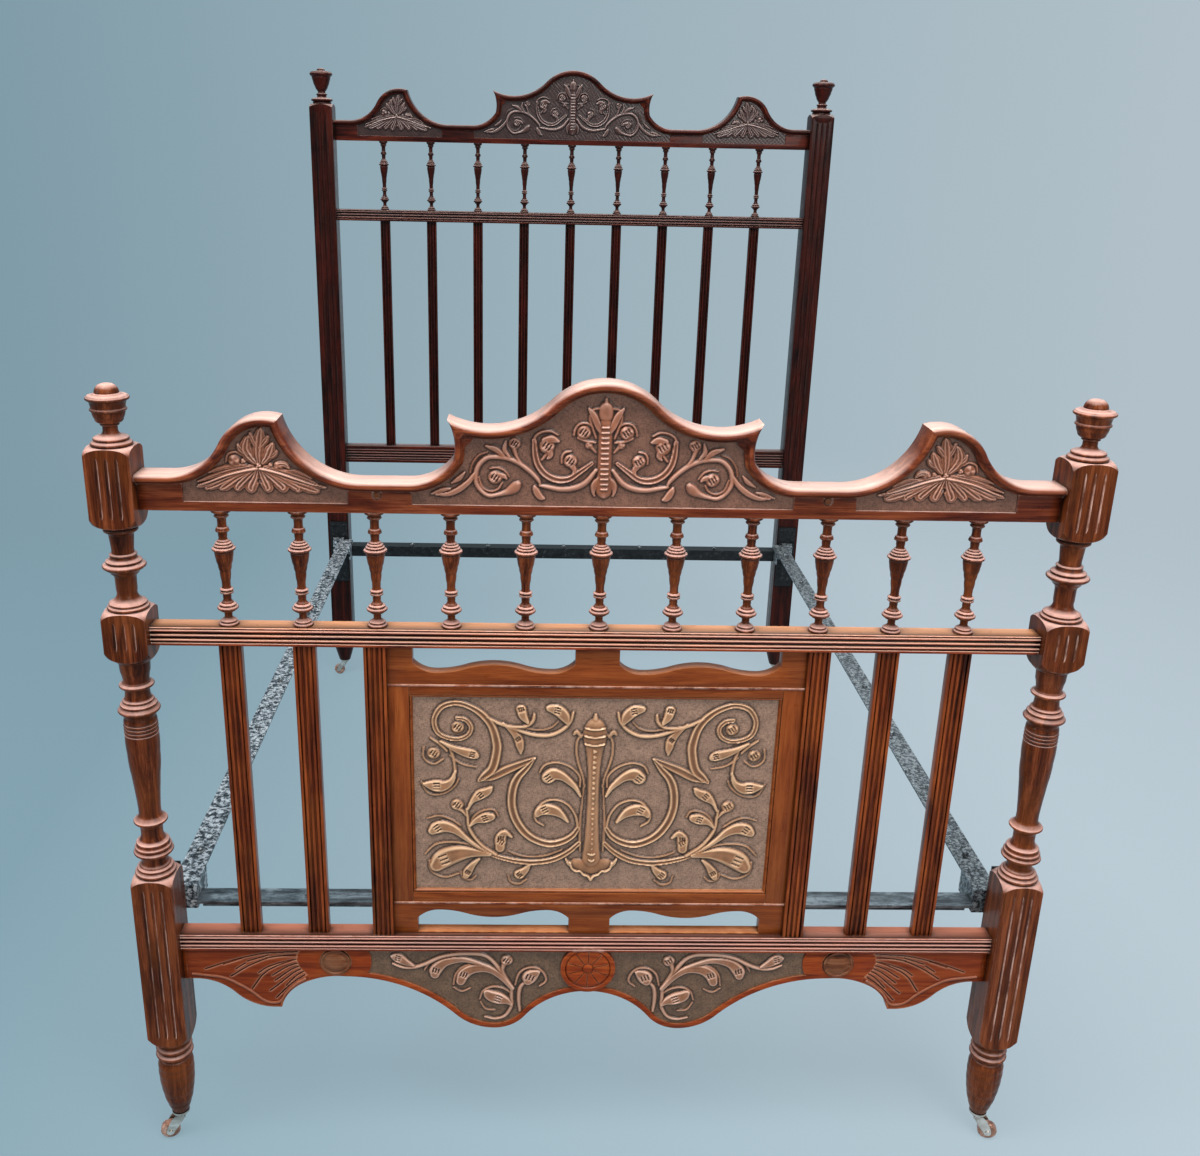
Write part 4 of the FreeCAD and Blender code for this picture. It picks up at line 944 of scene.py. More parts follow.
def scallopLine(side, railZ, way):
    # one opening of the frame: two ogees that meet in a shallow point, between two quarter rounds
    inner, outer = side * 33.0, side * (panelX - 6.5)
    spring, depth = railZ + way * 28.0, railZ + way * 43.5
    middle = ((outer + inner) / 2, railZ + way * 30.0)
    rail = railZ + way * 2.2
    bulge = (spring + depth) / 2 + way * 4.6
    first, second = inner + side * 35.0, outer - side * 35.0
    places = [(inner, rail), (inner, spring)]
    places += throughThree((inner, spring), ((inner + first) / 2, bulge), (first, depth))
    for start, end in (((first, depth), middle), (middle, (second, depth))):
        low, high = sorted((start, end), key=lambda place: place[1])
        places += ogee(low, high, 0.5, rising=start == low)[0]
    places += throughThree((second, depth), ((outer + second) / 2, bulge), (outer, spring))
    return places + [(outer, rail)]


f = panelFrame
for name, z0, z1, railZ, way, innerZ in (
        ("Top", f["stileHigh"], f["railHigh"], f["railHigh"], -1, panelHigh),
        ("Bottom", f["railLow"], f["stileLow"], f["railLow"], 1, panelLow)):
    frameLine = [(-f["wide"], z0), (f["wide"], z0), (f["wide"], z1), (-f["wide"], z1)]
    board = sawnBoard("footPanelRail" + name, [frameLine, scallopLine(1, railZ, way), scallopLine(-1, railZ, way)],
                      f["front"], f["back"], 1.0)
    settle(board, finish["footFrame"], ["foot_panel_" + name.lower() + "_rail"])
    edgeZ = z0 if name == "Top" else z1
    low, high = sorted((edgeZ, innerZ))
    member = blockOf("footPanelMember" + name, -panelX, panelX, f["front"], f["back"], low, high, 0.9)
    settle(tidyMesh(member), finish["footFrame"])
    bead = blockOf("footPanelEdge" + name, -f["wide"], f["wide"], f["front"] - 1.3, f["front"] + 3,
                   edgeZ - 1.7, edgeZ + 1.7, 1.2)
    settle(tidyMesh(bead), finish["footRail"])
for label, side in sides:
    x0, x1 = sorted((side * panelX, side * f["wide"]))
    stile = blockOf("footPanelStile_" + label, x0, x1, f["front"], f["back"], f["stileLow"], f["stileHigh"], 0.9)
    settle(tidyMesh(stile), finish["footStile"], ["foot_panel_stile_" + label])
beadSection = [(0, 0), (0, -3.2), (1.4, -4.6), (3.2, -4.2), (4.6, -2.4), (5.4, 0)]
beadLine = [(-panelX, panelLow), (-panelX, panelHigh), (panelX, panelHigh), (panelX, panelLow)]
panelMiddle = (panelLow + panelHigh) / 2
rows = [[(x + math.copysign(inward, -x), footY - 0.6 + depth, z + math.copysign(inward, panelMiddle - z))
         for x, z in beadLine] for inward, depth in beadSection]
bead = skinOver("footPanelBead", np.transpose(np.array(rows), (1, 0, 2))[[0, 1, 2, 3, 0]])
settle(bead, finish["footFrame"])
print("panel frame made")

# carving strokes, left half: (kind, lift, places of x, z and half width)
panelStrokes = [
    ("band", 4.2, [(-177, 700, 3), (-168, 708, 7), (-156, 722, 8), (-150, 748, 8), (-150, 765, 8), (-157, 790, 7),
                   (-170, 808, 6.5), (-188, 821, 5.5), (-210, 828, 5), (-232, 822, 5), (-244, 803, 4.5),
                   (-241, 783, 4.5), (-228, 773, 4), (-208, 770, 4), (-193, 777, 4), (-189, 790, 4), (-197, 801, 4),
                   (-210, 804, 3.5)]),
    ("ball", 5.0, [(-209, 789, 10)]),
    ("band", 3.6, [(-177, 700, 2), (-155, 707, 7), (-135, 718, 8), (-112, 729, 6), (-91, 739.5, 2)]),
    ("band", 4.6, [(-92, 738, 2), (-104, 722, 5.5), (-117, 706, 7), (-124, 688, 7.5), (-126.5, 665, 7.5),
                   (-124, 645, 7.5), (-117, 626, 7.5), (-104, 607, 7.5), (-87, 594.5, 7), (-67, 588.5, 7),
                   (-47, 592.5, 6.5), (-31, 603, 5.5), (-22, 617, 4)]),
    ("stem", 3.2, [(-22, 617, 2.8), (-27, 640, 2.2), (-40, 659, 2.2), (-59, 667, 2.2), (-77, 662, 2.2),
                   (-89, 645, 2.2), (-88, 630, 2.2), (-76, 621, 2)]),
    ("leaf", 5.4, [(-86, 640, 4), (-84, 645, 7), (-75, 650, 10.5), (-60, 648, 9.5), (-48, 640, 5.5), (-38, 628, 2)]),
    ("leaf", 5.4, [(-70, 706, 11), (-62, 712, 11), (-48, 708, 7.5), (-36, 698, 5.5), (-27, 688, 4), (-20, 674, 2)]),
    ("stem", 3.0, [(-21, 690, 1.6), (-21, 706, 2), (-29, 718, 2), (-41, 727, 2), (-59, 732, 2), (-76, 727, 2),
                   (-84, 714, 1.6)]),
    ("stem", 3.6, [(-165, 806, 2.5), (-150, 798, 3), (-135, 792, 3), (-118, 790, 3), (-104, 792, 3), (-95, 800, 3),
                   (-93, 811, 2.4)]),
    ("leaf", 5.0, [(-113, 819, 8), (-110, 808, 7), (-103, 798, 3)]),
    ("stem", 3.8, [(-150, 797, 3), (-120, 786, 3.4), (-95, 778, 3.6), (-70, 777, 3.6), (-50, 786, 3.4),
                   (-38, 800, 3), (-34, 815, 2.2)]),
    ("stem", 2.4, [(-119, 790, 1.6), (-87, 785.5, 1.8), (-68, 789, 1.8), (-57, 799, 1.6)]),
    ("leaf", 5.2, [(-70, 821, 6), (-58, 818, 9.5), (-48, 809, 9), (-42, 798, 4)]),
    ("leaf", 4.2, [(-140, 796, 2), (-126, 783, 5), (-117, 771, 7), (-114, 759, 6.5), (-113, 747, 2)]),
    ("stem", 3.0, [(-250, 771, 2), (-235, 760, 3), (-226, 750, 2.4)]),
    ("ball", 4.8, [(-246, 746, 10)]),
    ("stem", 2.6, [(-261, 756, 2), (-262, 741, 2), (-255, 731, 2), (-244, 728, 2), (-232, 736, 2)]),
    ("leaf", 4.8, [(-235, 766, 2), (-216, 755, 5), (-198, 748, 8), (-187, 745, 8.5), (-181, 742, 5)]),
    ("stem", 2.6, [(-221, 742, 1.8), (-212, 734, 2), (-200, 727, 2.2), (-181, 723, 1.8)]),
    ("stem", 3.0, [(-221, 753, 2.4), (-216, 738, 2.8), (-214, 722, 2.6), (-214, 716, 2.4)]),
    ("leaf", 5.0, [(-213, 716, 2), (-219, 699, 5), (-231, 690, 9), (-242, 690, 11), (-255, 692, 6), (-262, 694, 2)]),
    ("stem", 2.4, [(-266, 697, 1.6), (-258, 680, 2), (-246, 674, 2), (-228, 678, 2), (-214, 690, 2),
                   (-208, 702, 1.6)]),
    ("band", 4.2, [(-20, 590, 4), (-36, 574, 5), (-60, 560, 5.5), (-90, 554.5, 5.5), (-120, 557, 5), (-150, 565, 4),
                   (-168, 574, 2)]),
    ("stem", 2.4, [(-47, 577, 1.6), (-71, 567, 2), (-94, 564, 2), (-114, 567, 2), (-131, 574, 1.6)]),
    ("stem", 3.6, [(-151, 568, 3.6), (-174, 586, 3.2), (-191, 612, 3), (-195, 637, 2.6), (-196, 650, 2)]),
    ("leaf", 4.8, [(-194, 650, 2), (-187, 664, 4), (-175, 675, 9), (-164, 681, 7), (-158, 688, 3)]),
    ("ball", 5.0, [(-211, 657, 10)]),
    ("stem", 3.4, [(-211, 652, 5), (-203, 646, 3), (-197, 638, 2)]),
    ("leaf", 4.8, [(-191, 620, 2), (-182, 629, 5), (-168, 634, 9.5), (-158, 636, 7)]),
    ("stem", 2.4, [(-191, 623, 1.6), (-183, 638, 2), (-170, 647, 2.2), (-154, 648, 2), (-147, 637, 1.8)]),
    ("leaf", 5.2, [(-250, 610, 7), (-242, 616, 11), (-230, 618, 10.5), (-214, 612, 7.5), (-198, 598, 4.5),
                   (-181, 584, 3.4), (-161, 570, 3)]),
    ("stem", 2.4, [(-258, 632, 1.6), (-239, 637, 2), (-221, 631, 2.2), (-206, 620, 1.8)]),
    ("ball", 5.2, [(-143, 592, 9)]),
    ("leaf", 4.6, [(-144, 580, 8), (-143, 598, 9), (-136, 608, 5), (-126, 600, 2)]),
    ("leaf", 5.8, [(-161, 569, 4), (-176, 571, 6.5), (-192, 572, 10), (-212, 569, 15), (-232, 560, 17),
                   (-244, 548, 12)]),
    ("stem", 2.6, [(-262, 568, 1.8), (-246, 585, 2.2), (-223, 590, 2.4), (-198, 587, 2.2), (-174, 577, 2)]),
    ("stem", 2.6, [(-255, 556, 2), (-254, 540, 2.2), (-244, 530, 2.2), (-228, 526, 2.2), (-209, 533, 2)]),
    ("leaf", 4.6, [(-177, 560, 2.5), (-187, 549, 5), (-195, 536, 7.5), (-198, 528, 5)]),
    ("stem", 2.4, [(-206, 536, 1.6), (-202, 524, 2), (-190, 521, 2), (-182, 528, 1.8)]),
    ("leaf", 4.8, [(-98, 549, 3), (-104, 540, 6), (-113, 532, 9)]),
    ("stem", 2.4, [(-131, 530, 1.6), (-127, 518, 2), (-114, 514, 2.2), (-102, 522, 2)]),
    # the staff in the middle, its beads and its rings
    ("stem", 5.0, [(0, 797, 2), (0, 793, 13), (0, 782, 18), (0, 770, 17.5)]),
    ("stem", 3.8, [(0, 812, 2), (0, 803, 5), (0, 797, 6)]),
    ("stem", 4.6, [(0, 782, 17), (0, 764, 15), (0, 740, 11.5), (0, 710, 9.4), (0, 672, 9), (0, 630, 10),
                   (0, 590, 12), (0, 558, 15)]),
    ("stem", 2.8, [(-19, 778, 1.8), (-26, 770, 2.2), (-28, 752, 2.2), (-24, 730, 2.2), (-17, 708, 2),
                   (-14, 690, 1.6)]),
    ("leaf", 3.6, [(-21, 775, 2), (-28, 783, 3.6), (-32, 779, 2)]),
    ("stem", 2.6, [(-15, 690, 1.4), (-17, 660, 1.8), (-19, 630, 2), (-19, 600, 2), (-18, 575, 1.8)]),
    ("stem", 3.4, [(-24, 553, 9), (-10, 548, 12), (0, 546, 13)]),
    ("leaf", 4.6, [(-40, 561, 1.8), (-36, 553, 3), (-31, 548, 1.8)]),
    ("stem", 4.8, [(-33, 555, 1.8), (-31, 545, 2.2), (-24, 539, 2.2), (-17, 539, 2.2), (-12, 533, 2.2),
                   (-5, 530, 2.2), (0, 523, 3)]),
] + [("ball", 7.2, [(0, 752 - k * 9.0, 4.2 - k * 0.12)]) for k in range(21)] + [
    ("stem", 6.8, [(-15 + abs(z - 776) * 0.05, z, 2.0), (0, z - 2, 2.6), (15 - abs(z - 776) * 0.05, z, 2.0)])
    for z in (790, 777, 764, 572, 561)]
# drawn too high, so lowered: by 8 mm up to z 740, from there by less and less, and by 4.5 mm at the top
panelStrokes = [(kind, lift, [(x, z - 8 + 3.5 * min(1, max(0, (z - 740) / 90)), *r) for x, z, *r in line])
                for kind, lift, line in panelStrokes]

crestStrokes = [         # middle field, heights from the floor at the footboard
    ("stem", 3.8, [(-12, 1190, 3), (-26, 1172, 4.4), (-42, 1164, 4.4), (-60, 1162, 4.2), (-78, 1165, 3.6),
                   (-90, 1167, 2.4)]),
    ("leaf", 4.4, [(-98, 1166, 2), (-95, 1159, 5), (-90, 1151, 5), (-84, 1148, 2)]),
    ("band", 4.4, [(-99, 1232, 3.4), (-97, 1210, 5), (-92, 1195, 5.4), (-82, 1183, 5.6), (-67, 1176, 5.6),
                   (-50, 1177, 5), (-35, 1187, 4.4), (-18, 1200, 3)]),
    ("stem", 3.2, [(-99, 1230, 2), (-97, 1238, 2.2), (-88, 1244, 2.2), (-76, 1245, 2), (-66, 1240, 1.6)]),
    ("ball", 5.6, [(-81, 1224, 11)]),
    ("leaf", 4.6, [(-84, 1232, 5), (-74, 1234, 5.5), (-65, 1231, 2)]),
    ("leaf", 4.4, [(-78, 1219, 5), (-76, 1211, 4), (-80, 1206, 1.6)]),
    ("stem", 3.0, [(-78, 1222, 2), (-82, 1212, 2.4), (-88, 1204, 2)]),
    ("stem", 3.0, [(-60, 1200, 1.8), (-60, 1208, 2), (-56, 1215, 2), (-47, 1217, 1.6)]),
    ("ball", 5.4, [(-48, 1203, 9.6)]),
    ("leaf", 4.2, [(-46, 1197, 5), (-42, 1190, 3.5), (-44, 1184, 1.6)]),
    ("stem", 3.0, [(-44, 1240, 1.8), (-42, 1249, 2), (-36, 1256, 2), (-26, 1257, 2), (-18, 1252, 1.8)]),
    ("ball", 5.2, [(-30, 1244, 10)]),
    ("stem", 3.0, [(-38, 1236, 2), (-28, 1232, 2.2), (-14, 1230, 2)]),
    ("ball", 4.4, [(-23, 1226, 5.4)]),
    ("stem", 2.8, [(-20, 1224, 3), (-13, 1216, 1.8)]),
    ("leaf", 4.6, [(-24, 1278, 2), (-17, 1268, 5), (-11, 1254, 5), (-7, 1244, 2)]),
    ("stem", 3.8, [(-90, 1170, 2), (-94, 1177, 3.4), (-105, 1188, 3.8), (-120, 1199, 3.8), (-136, 1205.6, 3.8),
                   (-153, 1207.5, 3.8), (-164, 1206, 3.8), (-173, 1199, 3.8), (-179, 1188, 3.8), (-180, 1172, 3.8),
                   (-173, 1159, 3.6), (-162, 1151.5, 3.4), (-149, 1153, 3.4), (-136, 1157, 5), (-126, 1163, 8),
                   (-121, 1169, 5)]),
    ("stem", 2.2, [(-164, 1214, 1.4), (-176, 1209, 1.6), (-185, 1197, 1.6), (-188, 1184, 1.4)]),
    ("stem", 2.6, [(-176, 1178, 1.6), (-171, 1164, 1.8), (-160, 1157.5, 1.8), (-149, 1161, 1.8), (-143, 1170, 1.6)]),
    ("ball", 5.4, [(-153, 1178, 10)]),
    ("leaf", 4.2, [(-150, 1181, 5), (-141, 1180, 3.6), (-137, 1176, 1.6)]),
    ("stem", 2.6, [(-160, 1191, 1.6), (-150, 1192, 2), (-140, 1188, 2), (-133, 1179, 1.6)]),
    ("leaf", 4.4, [(-181, 1184, 2.4), (-190, 1171, 4), (-204, 1159.5, 4.4), (-219, 1153, 3.6), (-236, 1152, 1.6)]),
    ("leaf", 4.0, [(-196, 1184, 1.6), (-203, 1176, 3.6), (-214, 1169, 1.6)]),
    ("leaf", 4.0, [(-216, 1161, 1.8), (-228, 1158, 3.4), (-242, 1153, 1.6)]),
    ("leaf", 4.2, [(-166, 1223, 1.8), (-152, 1218, 4.4), (-141, 1209, 2.4)]),
    ("ball", 4.8, [(-126, 1227, 8.4)]),
    ("stem", 3.2, [(-127, 1220, 3.4), (-123, 1208, 2.6), (-115, 1197, 2)]),
    ("leaf", 4.2, [(-138, 1230, 1.6), (-140, 1218, 3.4), (-133, 1208, 2)]),
    ("stem", 5.2, [(0, 1284, 4), (0, 1277, 10), (0, 1268, 10)]),
    ("stem", 3.4, [(0, 1292, 2), (0, 1284, 4)]),
    ("stem", 4.2, [(0, 1262, 8), (0, 1250, 9.5), (0, 1215, 9.6), (0, 1182, 10.5), (0, 1168, 14), (0, 1160, 11),
                   (0, 1151, 2)]),
    ("stem", 2.8, [(-8, 1278, 1.6), (-18, 1276, 2.2), (-22, 1264, 2.4), (-18, 1250, 2.2), (-13, 1236, 1.6)]),
    ("leaf", 4.0, [(-7, 1180, 2), (-13, 1170, 5), (-15, 1160, 3), (-13, 1153, 1.6)]),
] + [("stem", 6.0, [(-4.2, 1163 + k * 7.4, 2.2), (4.2, 1163 + k * 7.4, 2.2)]) for k in range(13)]

wingStrokes = [          # centred on x -482, heights from the floor
    ("frond", 4.4, [(-481, 1192, 4), (-482, 1206, 7), (-480, 1222, 9), (-478, 1234, 7.5), (-476, 1243, 2)]),
    ("frond", 4.2, [(-479, 1216, 4), (-472, 1225, 5.5), (-467, 1231, 3)]),
    ("frond", 4.2, [(-484, 1218, 4), (-489, 1228, 4.6), (-491, 1236, 2.4)]),
    ("frond", 4.6, [(-486, 1194, 4), (-494, 1203, 8), (-499, 1213, 9), (-497, 1225, 6), (-493, 1232, 2)]),
    ("frond", 4.2, [(-497, 1206, 4), (-505, 1212, 5.5), (-509, 1219, 3)]),
    ("frond", 4.6, [(-476, 1194, 4), (-469, 1203, 7), (-465, 1212, 8), (-461, 1221, 3)]),
    ("frond", 4.2, [(-468, 1202, 4), (-460, 1206, 5), (-456, 1211, 2.5)]),
    ("ball", 5.2, [(-516, 1197, 8.6)]),
    ("ball", 4.6, [(-503, 1196, 4)]),
    ("ball", 5.0, [(-455, 1190, 6.6)]),
    ("frond", 4.6, [(-456, 1192, 5), (-446, 1192, 5), (-440, 1187, 2)]),
    ("ball", 4.4, [(-466, 1191, 3.6)]),
    ("stem", 2.8, [(-527, 1195, 1.6), (-524, 1205, 2), (-514, 1209, 2), (-506, 1205, 1.6)]),
    ("frond", 4.0, [(-490, 1189, 3), (-508, 1185, 5), (-528, 1180, 5.4), (-548, 1173, 4), (-568, 1166, 1.6)]),
    ("frond", 3.6, [(-500, 1191, 2), (-520, 1188, 4), (-538, 1184, 3.4), (-552, 1179, 1.6)]),
    ("frond", 4.0, [(-474, 1188, 3), (-456, 1183, 5), (-436, 1177, 5.4), (-418, 1171, 4.2), (-402, 1165, 1.6)]),
    ("frond", 3.6, [(-446, 1183, 2), (-432, 1182, 3.6), (-420, 1178, 3), (-410, 1173, 1.6)]),
    ("frond", 5.4, [(-484, 1184, 4), (-488, 1172, 7), (-494, 1160, 9), (-494, 1156, 6)]),
    ("frond", 5.2, [(-487, 1184, 4), (-499, 1173, 7), (-511, 1161, 7.6), (-513, 1157, 5)]),
    ("frond", 5.0, [(-490, 1184, 4), (-510, 1174, 7), (-529, 1161, 8), (-535, 1157, 5)]),
    ("frond", 4.8, [(-492, 1184, 4), (-520, 1173, 6.4), (-545, 1161, 6.6), (-556, 1157, 4)]),
    ("frond", 4.8, [(-495, 1184, 3.5), (-530, 1172, 5), (-556, 1162, 4), (-569, 1158.5, 1.6)]),
    ("frond", 5.4, [(-480, 1184, 4), (-476, 1172, 7), (-471, 1160, 8.5), (-471, 1157, 6)]),
    ("frond", 5.2, [(-477, 1184, 4), (-464, 1173, 7), (-451, 1161, 9), (-450, 1158, 6)]),
    ("frond", 5.0, [(-474, 1183, 4), (-452, 1172, 6.6), (-431, 1160, 7.6), (-429, 1156, 5)]),
    ("frond", 4.8, [(-471, 1182, 4), (-440, 1168, 6.4), (-412, 1158, 8), (-403, 1155, 5)]),
    ("frond", 4.8, [(-468, 1181, 3.5), (-430, 1169, 5), (-405, 1162, 4.4), (-390, 1160, 1.6)]),
    ("stem", 6.2, [(-484, 1186, 3.0), (-505, 1182, 2.4), (-530, 1175, 2.0), (-552, 1166, 1.6), (-567, 1161, 1.2)]),
    ("stem", 6.2, [(-480, 1186, 3.0), (-458, 1181, 2.4), (-434, 1173, 2.0), (-410, 1165, 1.6), (-394, 1161.5, 1.2)]),
    ("ball", 7.0, [(-482, 1190.5, 4.2)]),
    ("stem", -3.6, [(-482, 1168, 3.6)]),
]

dropStrokes = [          # apron carving, heights from the floor
    ("stem", 3.4, [(-317, 359, 1.8), (-301, 352, 2.8), (-282, 352, 3.2), (-263, 359, 3.4), (-241, 371, 3.4),
                   (-218, 377, 3.4), (-194, 378.5, 3.4), (-173, 377, 3.4), (-158, 368, 3.4), (-142, 345, 3.6),
                   (-123, 312, 3.6)]),
    ("leaf", 4.4, [(-318, 373, 2), (-308, 370, 7), (-296, 362, 5), (-284, 356, 2)]),
    ("leaf", 4.6, [(-249, 338, 6), (-247, 347, 8), (-234, 361, 6.5), (-213, 367, 4.6), (-194, 366, 3.6),
                   (-160, 354, 2)]),
    ("stem", 2.4, [(-266, 346, 1.4), (-257, 361, 2), (-243, 369, 2), (-228, 373, 1.6)]),
    ("leaf", 4.8, [(-207, 325, 6), (-202, 339, 8), (-189, 349, 7.4), (-170, 351, 6), (-155, 346, 5), (-139, 332, 4),
                   (-123, 312, 3)]),
    ("stem", 2.4, [(-219, 318, 1.6), (-215, 338, 2), (-203, 353, 2), (-184, 360, 1.6)]),
    ("stem", 2.4, [(-219, 313, 1.6), (-206, 305, 2), (-192, 311, 1.8)]),
    ("ball", 4.8, [(-132, 366, 8.4)]),
    ("stem", 3.2, [(-136, 360, 4), (-139, 346, 3), (-132, 329, 3), (-123, 312, 3)]),
    ("leaf", 5.0, [(-97, 326, 6), (-94, 334, 9.5), (-86, 341, 6), (-79, 345, 1.8)]),
    ("stem", 3.2, [(-102, 324, 2.6), (-110, 312, 3.2), (-112, 290, 3.2), (-110, 267, 2.4)]),
    ("stem", 2.6, [(-118, 318, 1.6), (-112, 340, 2.2), (-99, 351, 2.2), (-82, 351, 2.2), (-71, 340, 2.2),
                   (-68, 326, 2), (-78, 316, 1.8)]),
    ("leaf", 5.0, [(-164, 303, 5), (-158, 297, 8), (-146, 292, 9), (-132, 287, 5), (-124, 280, 2)]),
    ("stem", 2.6, [(-176, 290, 1.6), (-170, 306, 2), (-156, 314, 2.2), (-139, 312, 2.2), (-124, 302, 2)]),
    ("stem", 2.4, [(-175, 284, 1.6), (-166, 270, 2), (-151, 268, 1.8)]),
    ("stem", 3.2, [(-124, 312, 3), (-124, 295, 3), (-124, 276, 3), (-134, 257, 2.8), (-151, 251, 2.4),
                   (-168, 255, 1.6)]),
]
print("carving drawn")

# crest rails
outline = crestLine()
hidden = pulledIn(outline, tuck)


def lineUnder(line, near, far, foot):
    # the part of an outline between two x places, closed along a level foot
    line = np.asarray(line)
    part = line[(line[:, 0] > near) & (line[:, 0] < far)]
    top = np.interp((near, far), line[:, 0], line[:, 1])
    return [(near, foot), (near, top[0]), *map(tuple, part), (far, top[1]), (far, foot)]


def crestPieces(board, half, y, bottom, look, carving):
    # moulded cap, plain back, face with three windows, and a carved tile in each window
    c = crest
    rows = []
    for reach, depth in capSection:
        line = pulledIn(outline, reach)
        rows.append(np.column_stack([line[:, 0], np.full(len(outline), y + depth), line[:, 1] + bottom]))
    rows = np.stack(rows, axis=1)
    rows[:, :, 0] = np.clip(rows[:, :, 0] * half / footHalf, -half, half)
    cap = skinOver(board + "CrestCap", rows, angle=40)
    settle(cap, finish[look], [board + "_crest_rail"])
    front = y - c["board"] / 2
    ground = front + c["sink"]
    whole = [(-footHalf, 1), *map(tuple, hidden), (footHalf, 1)]
    back = sawnBoard(board + "CrestBoard", [[(x, z + bottom) for x, z in whole]], ground + 0.2, y + c["board"] / 2, 0.8)
    settle(back, finish[look])
    near, far = (footHalf * share for share in c["wingField"])
    middle = footHalf * c["centreField"]
    plate = [(-footHalf, 0)]
    for x0, x1 in ((-footHalf, -far), (-near, -middle), (middle, near), (far, footHalf)):
        part = lineUnder(hidden, x0, x1, c["foot"])
        if x0 == -footHalf:
            part[0] = (x0, 1)
        plate += part
    plate += [(footHalf, 0)]
    face = sawnBoard(board + "CrestFace", [[(x, z + bottom) for x, z in plate]], front, ground + 2, 0.9, angle=30)
    if board == "foot":      # two round plugs over the screws that hold the rail
        for label, side in sides:
            seat = turnOnLathe("seat", [(-4, 6.8), (4, 6.8)], 28)
            seat.data.transform(shifted(side * c["plugX"], front - 2.2, bottom + c["plugRise"]) @ aboutX(1))
            cutWith(face, seat)
            plug = turnOnLathe("plug", [(-3, 5.4), (1.0, 5.4), (2.2, 4.6, 0.2), (2.8, 2.4, 0.1), (2.9, 0.1)], 28, 0.8)
            plug.data.transform(shifted(side * c["plugX"], front + 1.6, bottom + c["plugRise"]) @ aboutX(1))
            plug.name = "footCrestPlug_" + label
            settle(plug, finish["footDisc"])
        tidyMesh(face, 30)
    settle(face, finish[look])
    rightStrokes = [(kind, lift, [(-x, z, r) for x, z, r in line]) for kind, lift, line in wingStrokes]
    for label, x0, x1, top, strokes, mirror, cell in (
            ("Centre", -middle - 1.5, middle + 1.5, 186.0, withSlits(crestStrokes), True, 1.3),
            ("Left", -far - 1.5, -near + 1.5, 132.0, wingStrokes, False, 1.05),
            ("Right", near - 1.5, far + 1.5, 132.0, rightStrokes, False, 1.05)):
        xs, zs = gridLines(x0, x1, c["foot"] - 1.5, top, cell)
        height = punched(xs, zs, carvedField(xs, zs + crestFoot, strokes, mirror), 0.22, (1.7, 1.3, 1.9, 1.1))
        keep = insideOutline(xs, zs, hidden, [(x0, -9), (x1, -9)])
        tile = carvedTile(board + "CrestCarving" + label, xs, zs + bottom, height, keep, ground, ground + 2.5)
        settle(tile, finish[carving])


crestPieces("foot", footHalf, footY, crestFoot, "footCrest", "crestCarving")
crestPieces("head", headHalf, headY, 1612.0, "headRail", "headCarving")
print("crest rails carved")

# carved panel
panel = {"front": footY - 0.5, "back": footY + 8.5, "cell": 1.45}
xs, zs = gridLines(-panelX, panelX, panelLow, panelHigh, panel["cell"])
height = punched(xs, zs, carvedField(xs, zs, withSlits(panelStrokes)), 0.22, (1.5, 1.2, 1.7, 1.0))
tile = carvedTile("footCarvedPanel", xs, zs, height, np.ones(height.shape, bool), panel["front"], panel["back"])
settle(tile, finish["footCarving"], ["foot_carved_panel"])
print("panel carved")

# apron
apron = {"depth": 22.0, "end": 58.0, "shoulder": 18.0, "lowX": 510.0, "low": 113.5, "toeX": 500.0, "heelX": 462.0,
         "heel": 66.0, "hollow": 5.0, "archX": 395.0, "arch": 53.0, "dropX": 152.0, "drop": 154.0, "centre": 80.0,
         "rim": 9.0, "sink": 3.0, "rail": 387.0, "field": 360.0}


def apronLine():
    # the lower edge from left to right, heights from the rail: foot, toe, hollow, arch, drop and the middle
    a = apron
    toe, heel, arch = (-a["toeX"], -a["low"]), (-a["heelX"], -a["heel"]), (-a["archX"], -a["arch"])
    shoulder = (a["shoulder"] - footHalf, -a["end"])
    places = [(-footHalf, -a["end"]), shoulder]
    places += ogee((-a["lowX"], -a["low"]), shoulder, 0.5, rising=False)[0]
    places += [toe]
    hollow = ((toe[0] + heel[0]) / 2 - a["hollow"], (toe[1] + heel[1]) / 2 + a["hollow"])
    crown = ((heel[0] + arch[0]) / 2, (heel[1] + arch[1]) / 2 + a["hollow"])
    places += throughThree(toe, hollow, heel) + throughThree(heel, crown, arch)
    places += ogee((-a["dropX"], -a["drop"]), arch, 1 - 0.74, rising=False)[0]
    places += ogee((-a["dropX"], -a["drop"]), (0, -a["centre"]), 1 - 0.67)[0]
    return places + [(-x, z) for x, z in places[-2::-1]]


a = apron
front = footY - a["depth"] / 2
ground = front + a["sink"]
lower = apronLine()
rim = pulledIn(lower[::-1], a["rim"])[::-1]
tucked = pulledIn(lower[::-1], tuck)[::-1]
whole = [(x, z + a["rail"]) for x, z in [(-footHalf, 0)] + lower + [(footHalf, 0)]]
board = sawnBoard("footApronBoard", [whole], ground + 0.2, footY + a["depth"] / 2, 1.0)
settle(board, finish["footApron"], ["foot_apron"])
window = rim[(np.abs(rim[:, 0]) < a["field"])]
ends = np.interp((-a["field"], a["field"]), rim[:, 0], rim[:, 1])
bulge = []               # the window's right end, swung inwards
for t in np.linspace(0, math.pi, 14):
    bulge.append((a["field"] - 9 * math.sin(t), ends[1] + (-1.5 - ends[1]) * (0.5 - 0.5 * math.cos(t))))
hole = [(-x, z) for x, z in bulge[::-1]][:-1] + [(-a["field"], ends[0])] + [tuple(p) for p in window] + bulge
hole = [(x, z + a["rail"]) for x, z in hole]
fanEdge = ((320, 339, 352, 364, 376, 386), (-450, -455, -466, -470, -469, -463))     # heights, and x at each
inner = pulledIn(lower[::-1], 5.3)[::-1]
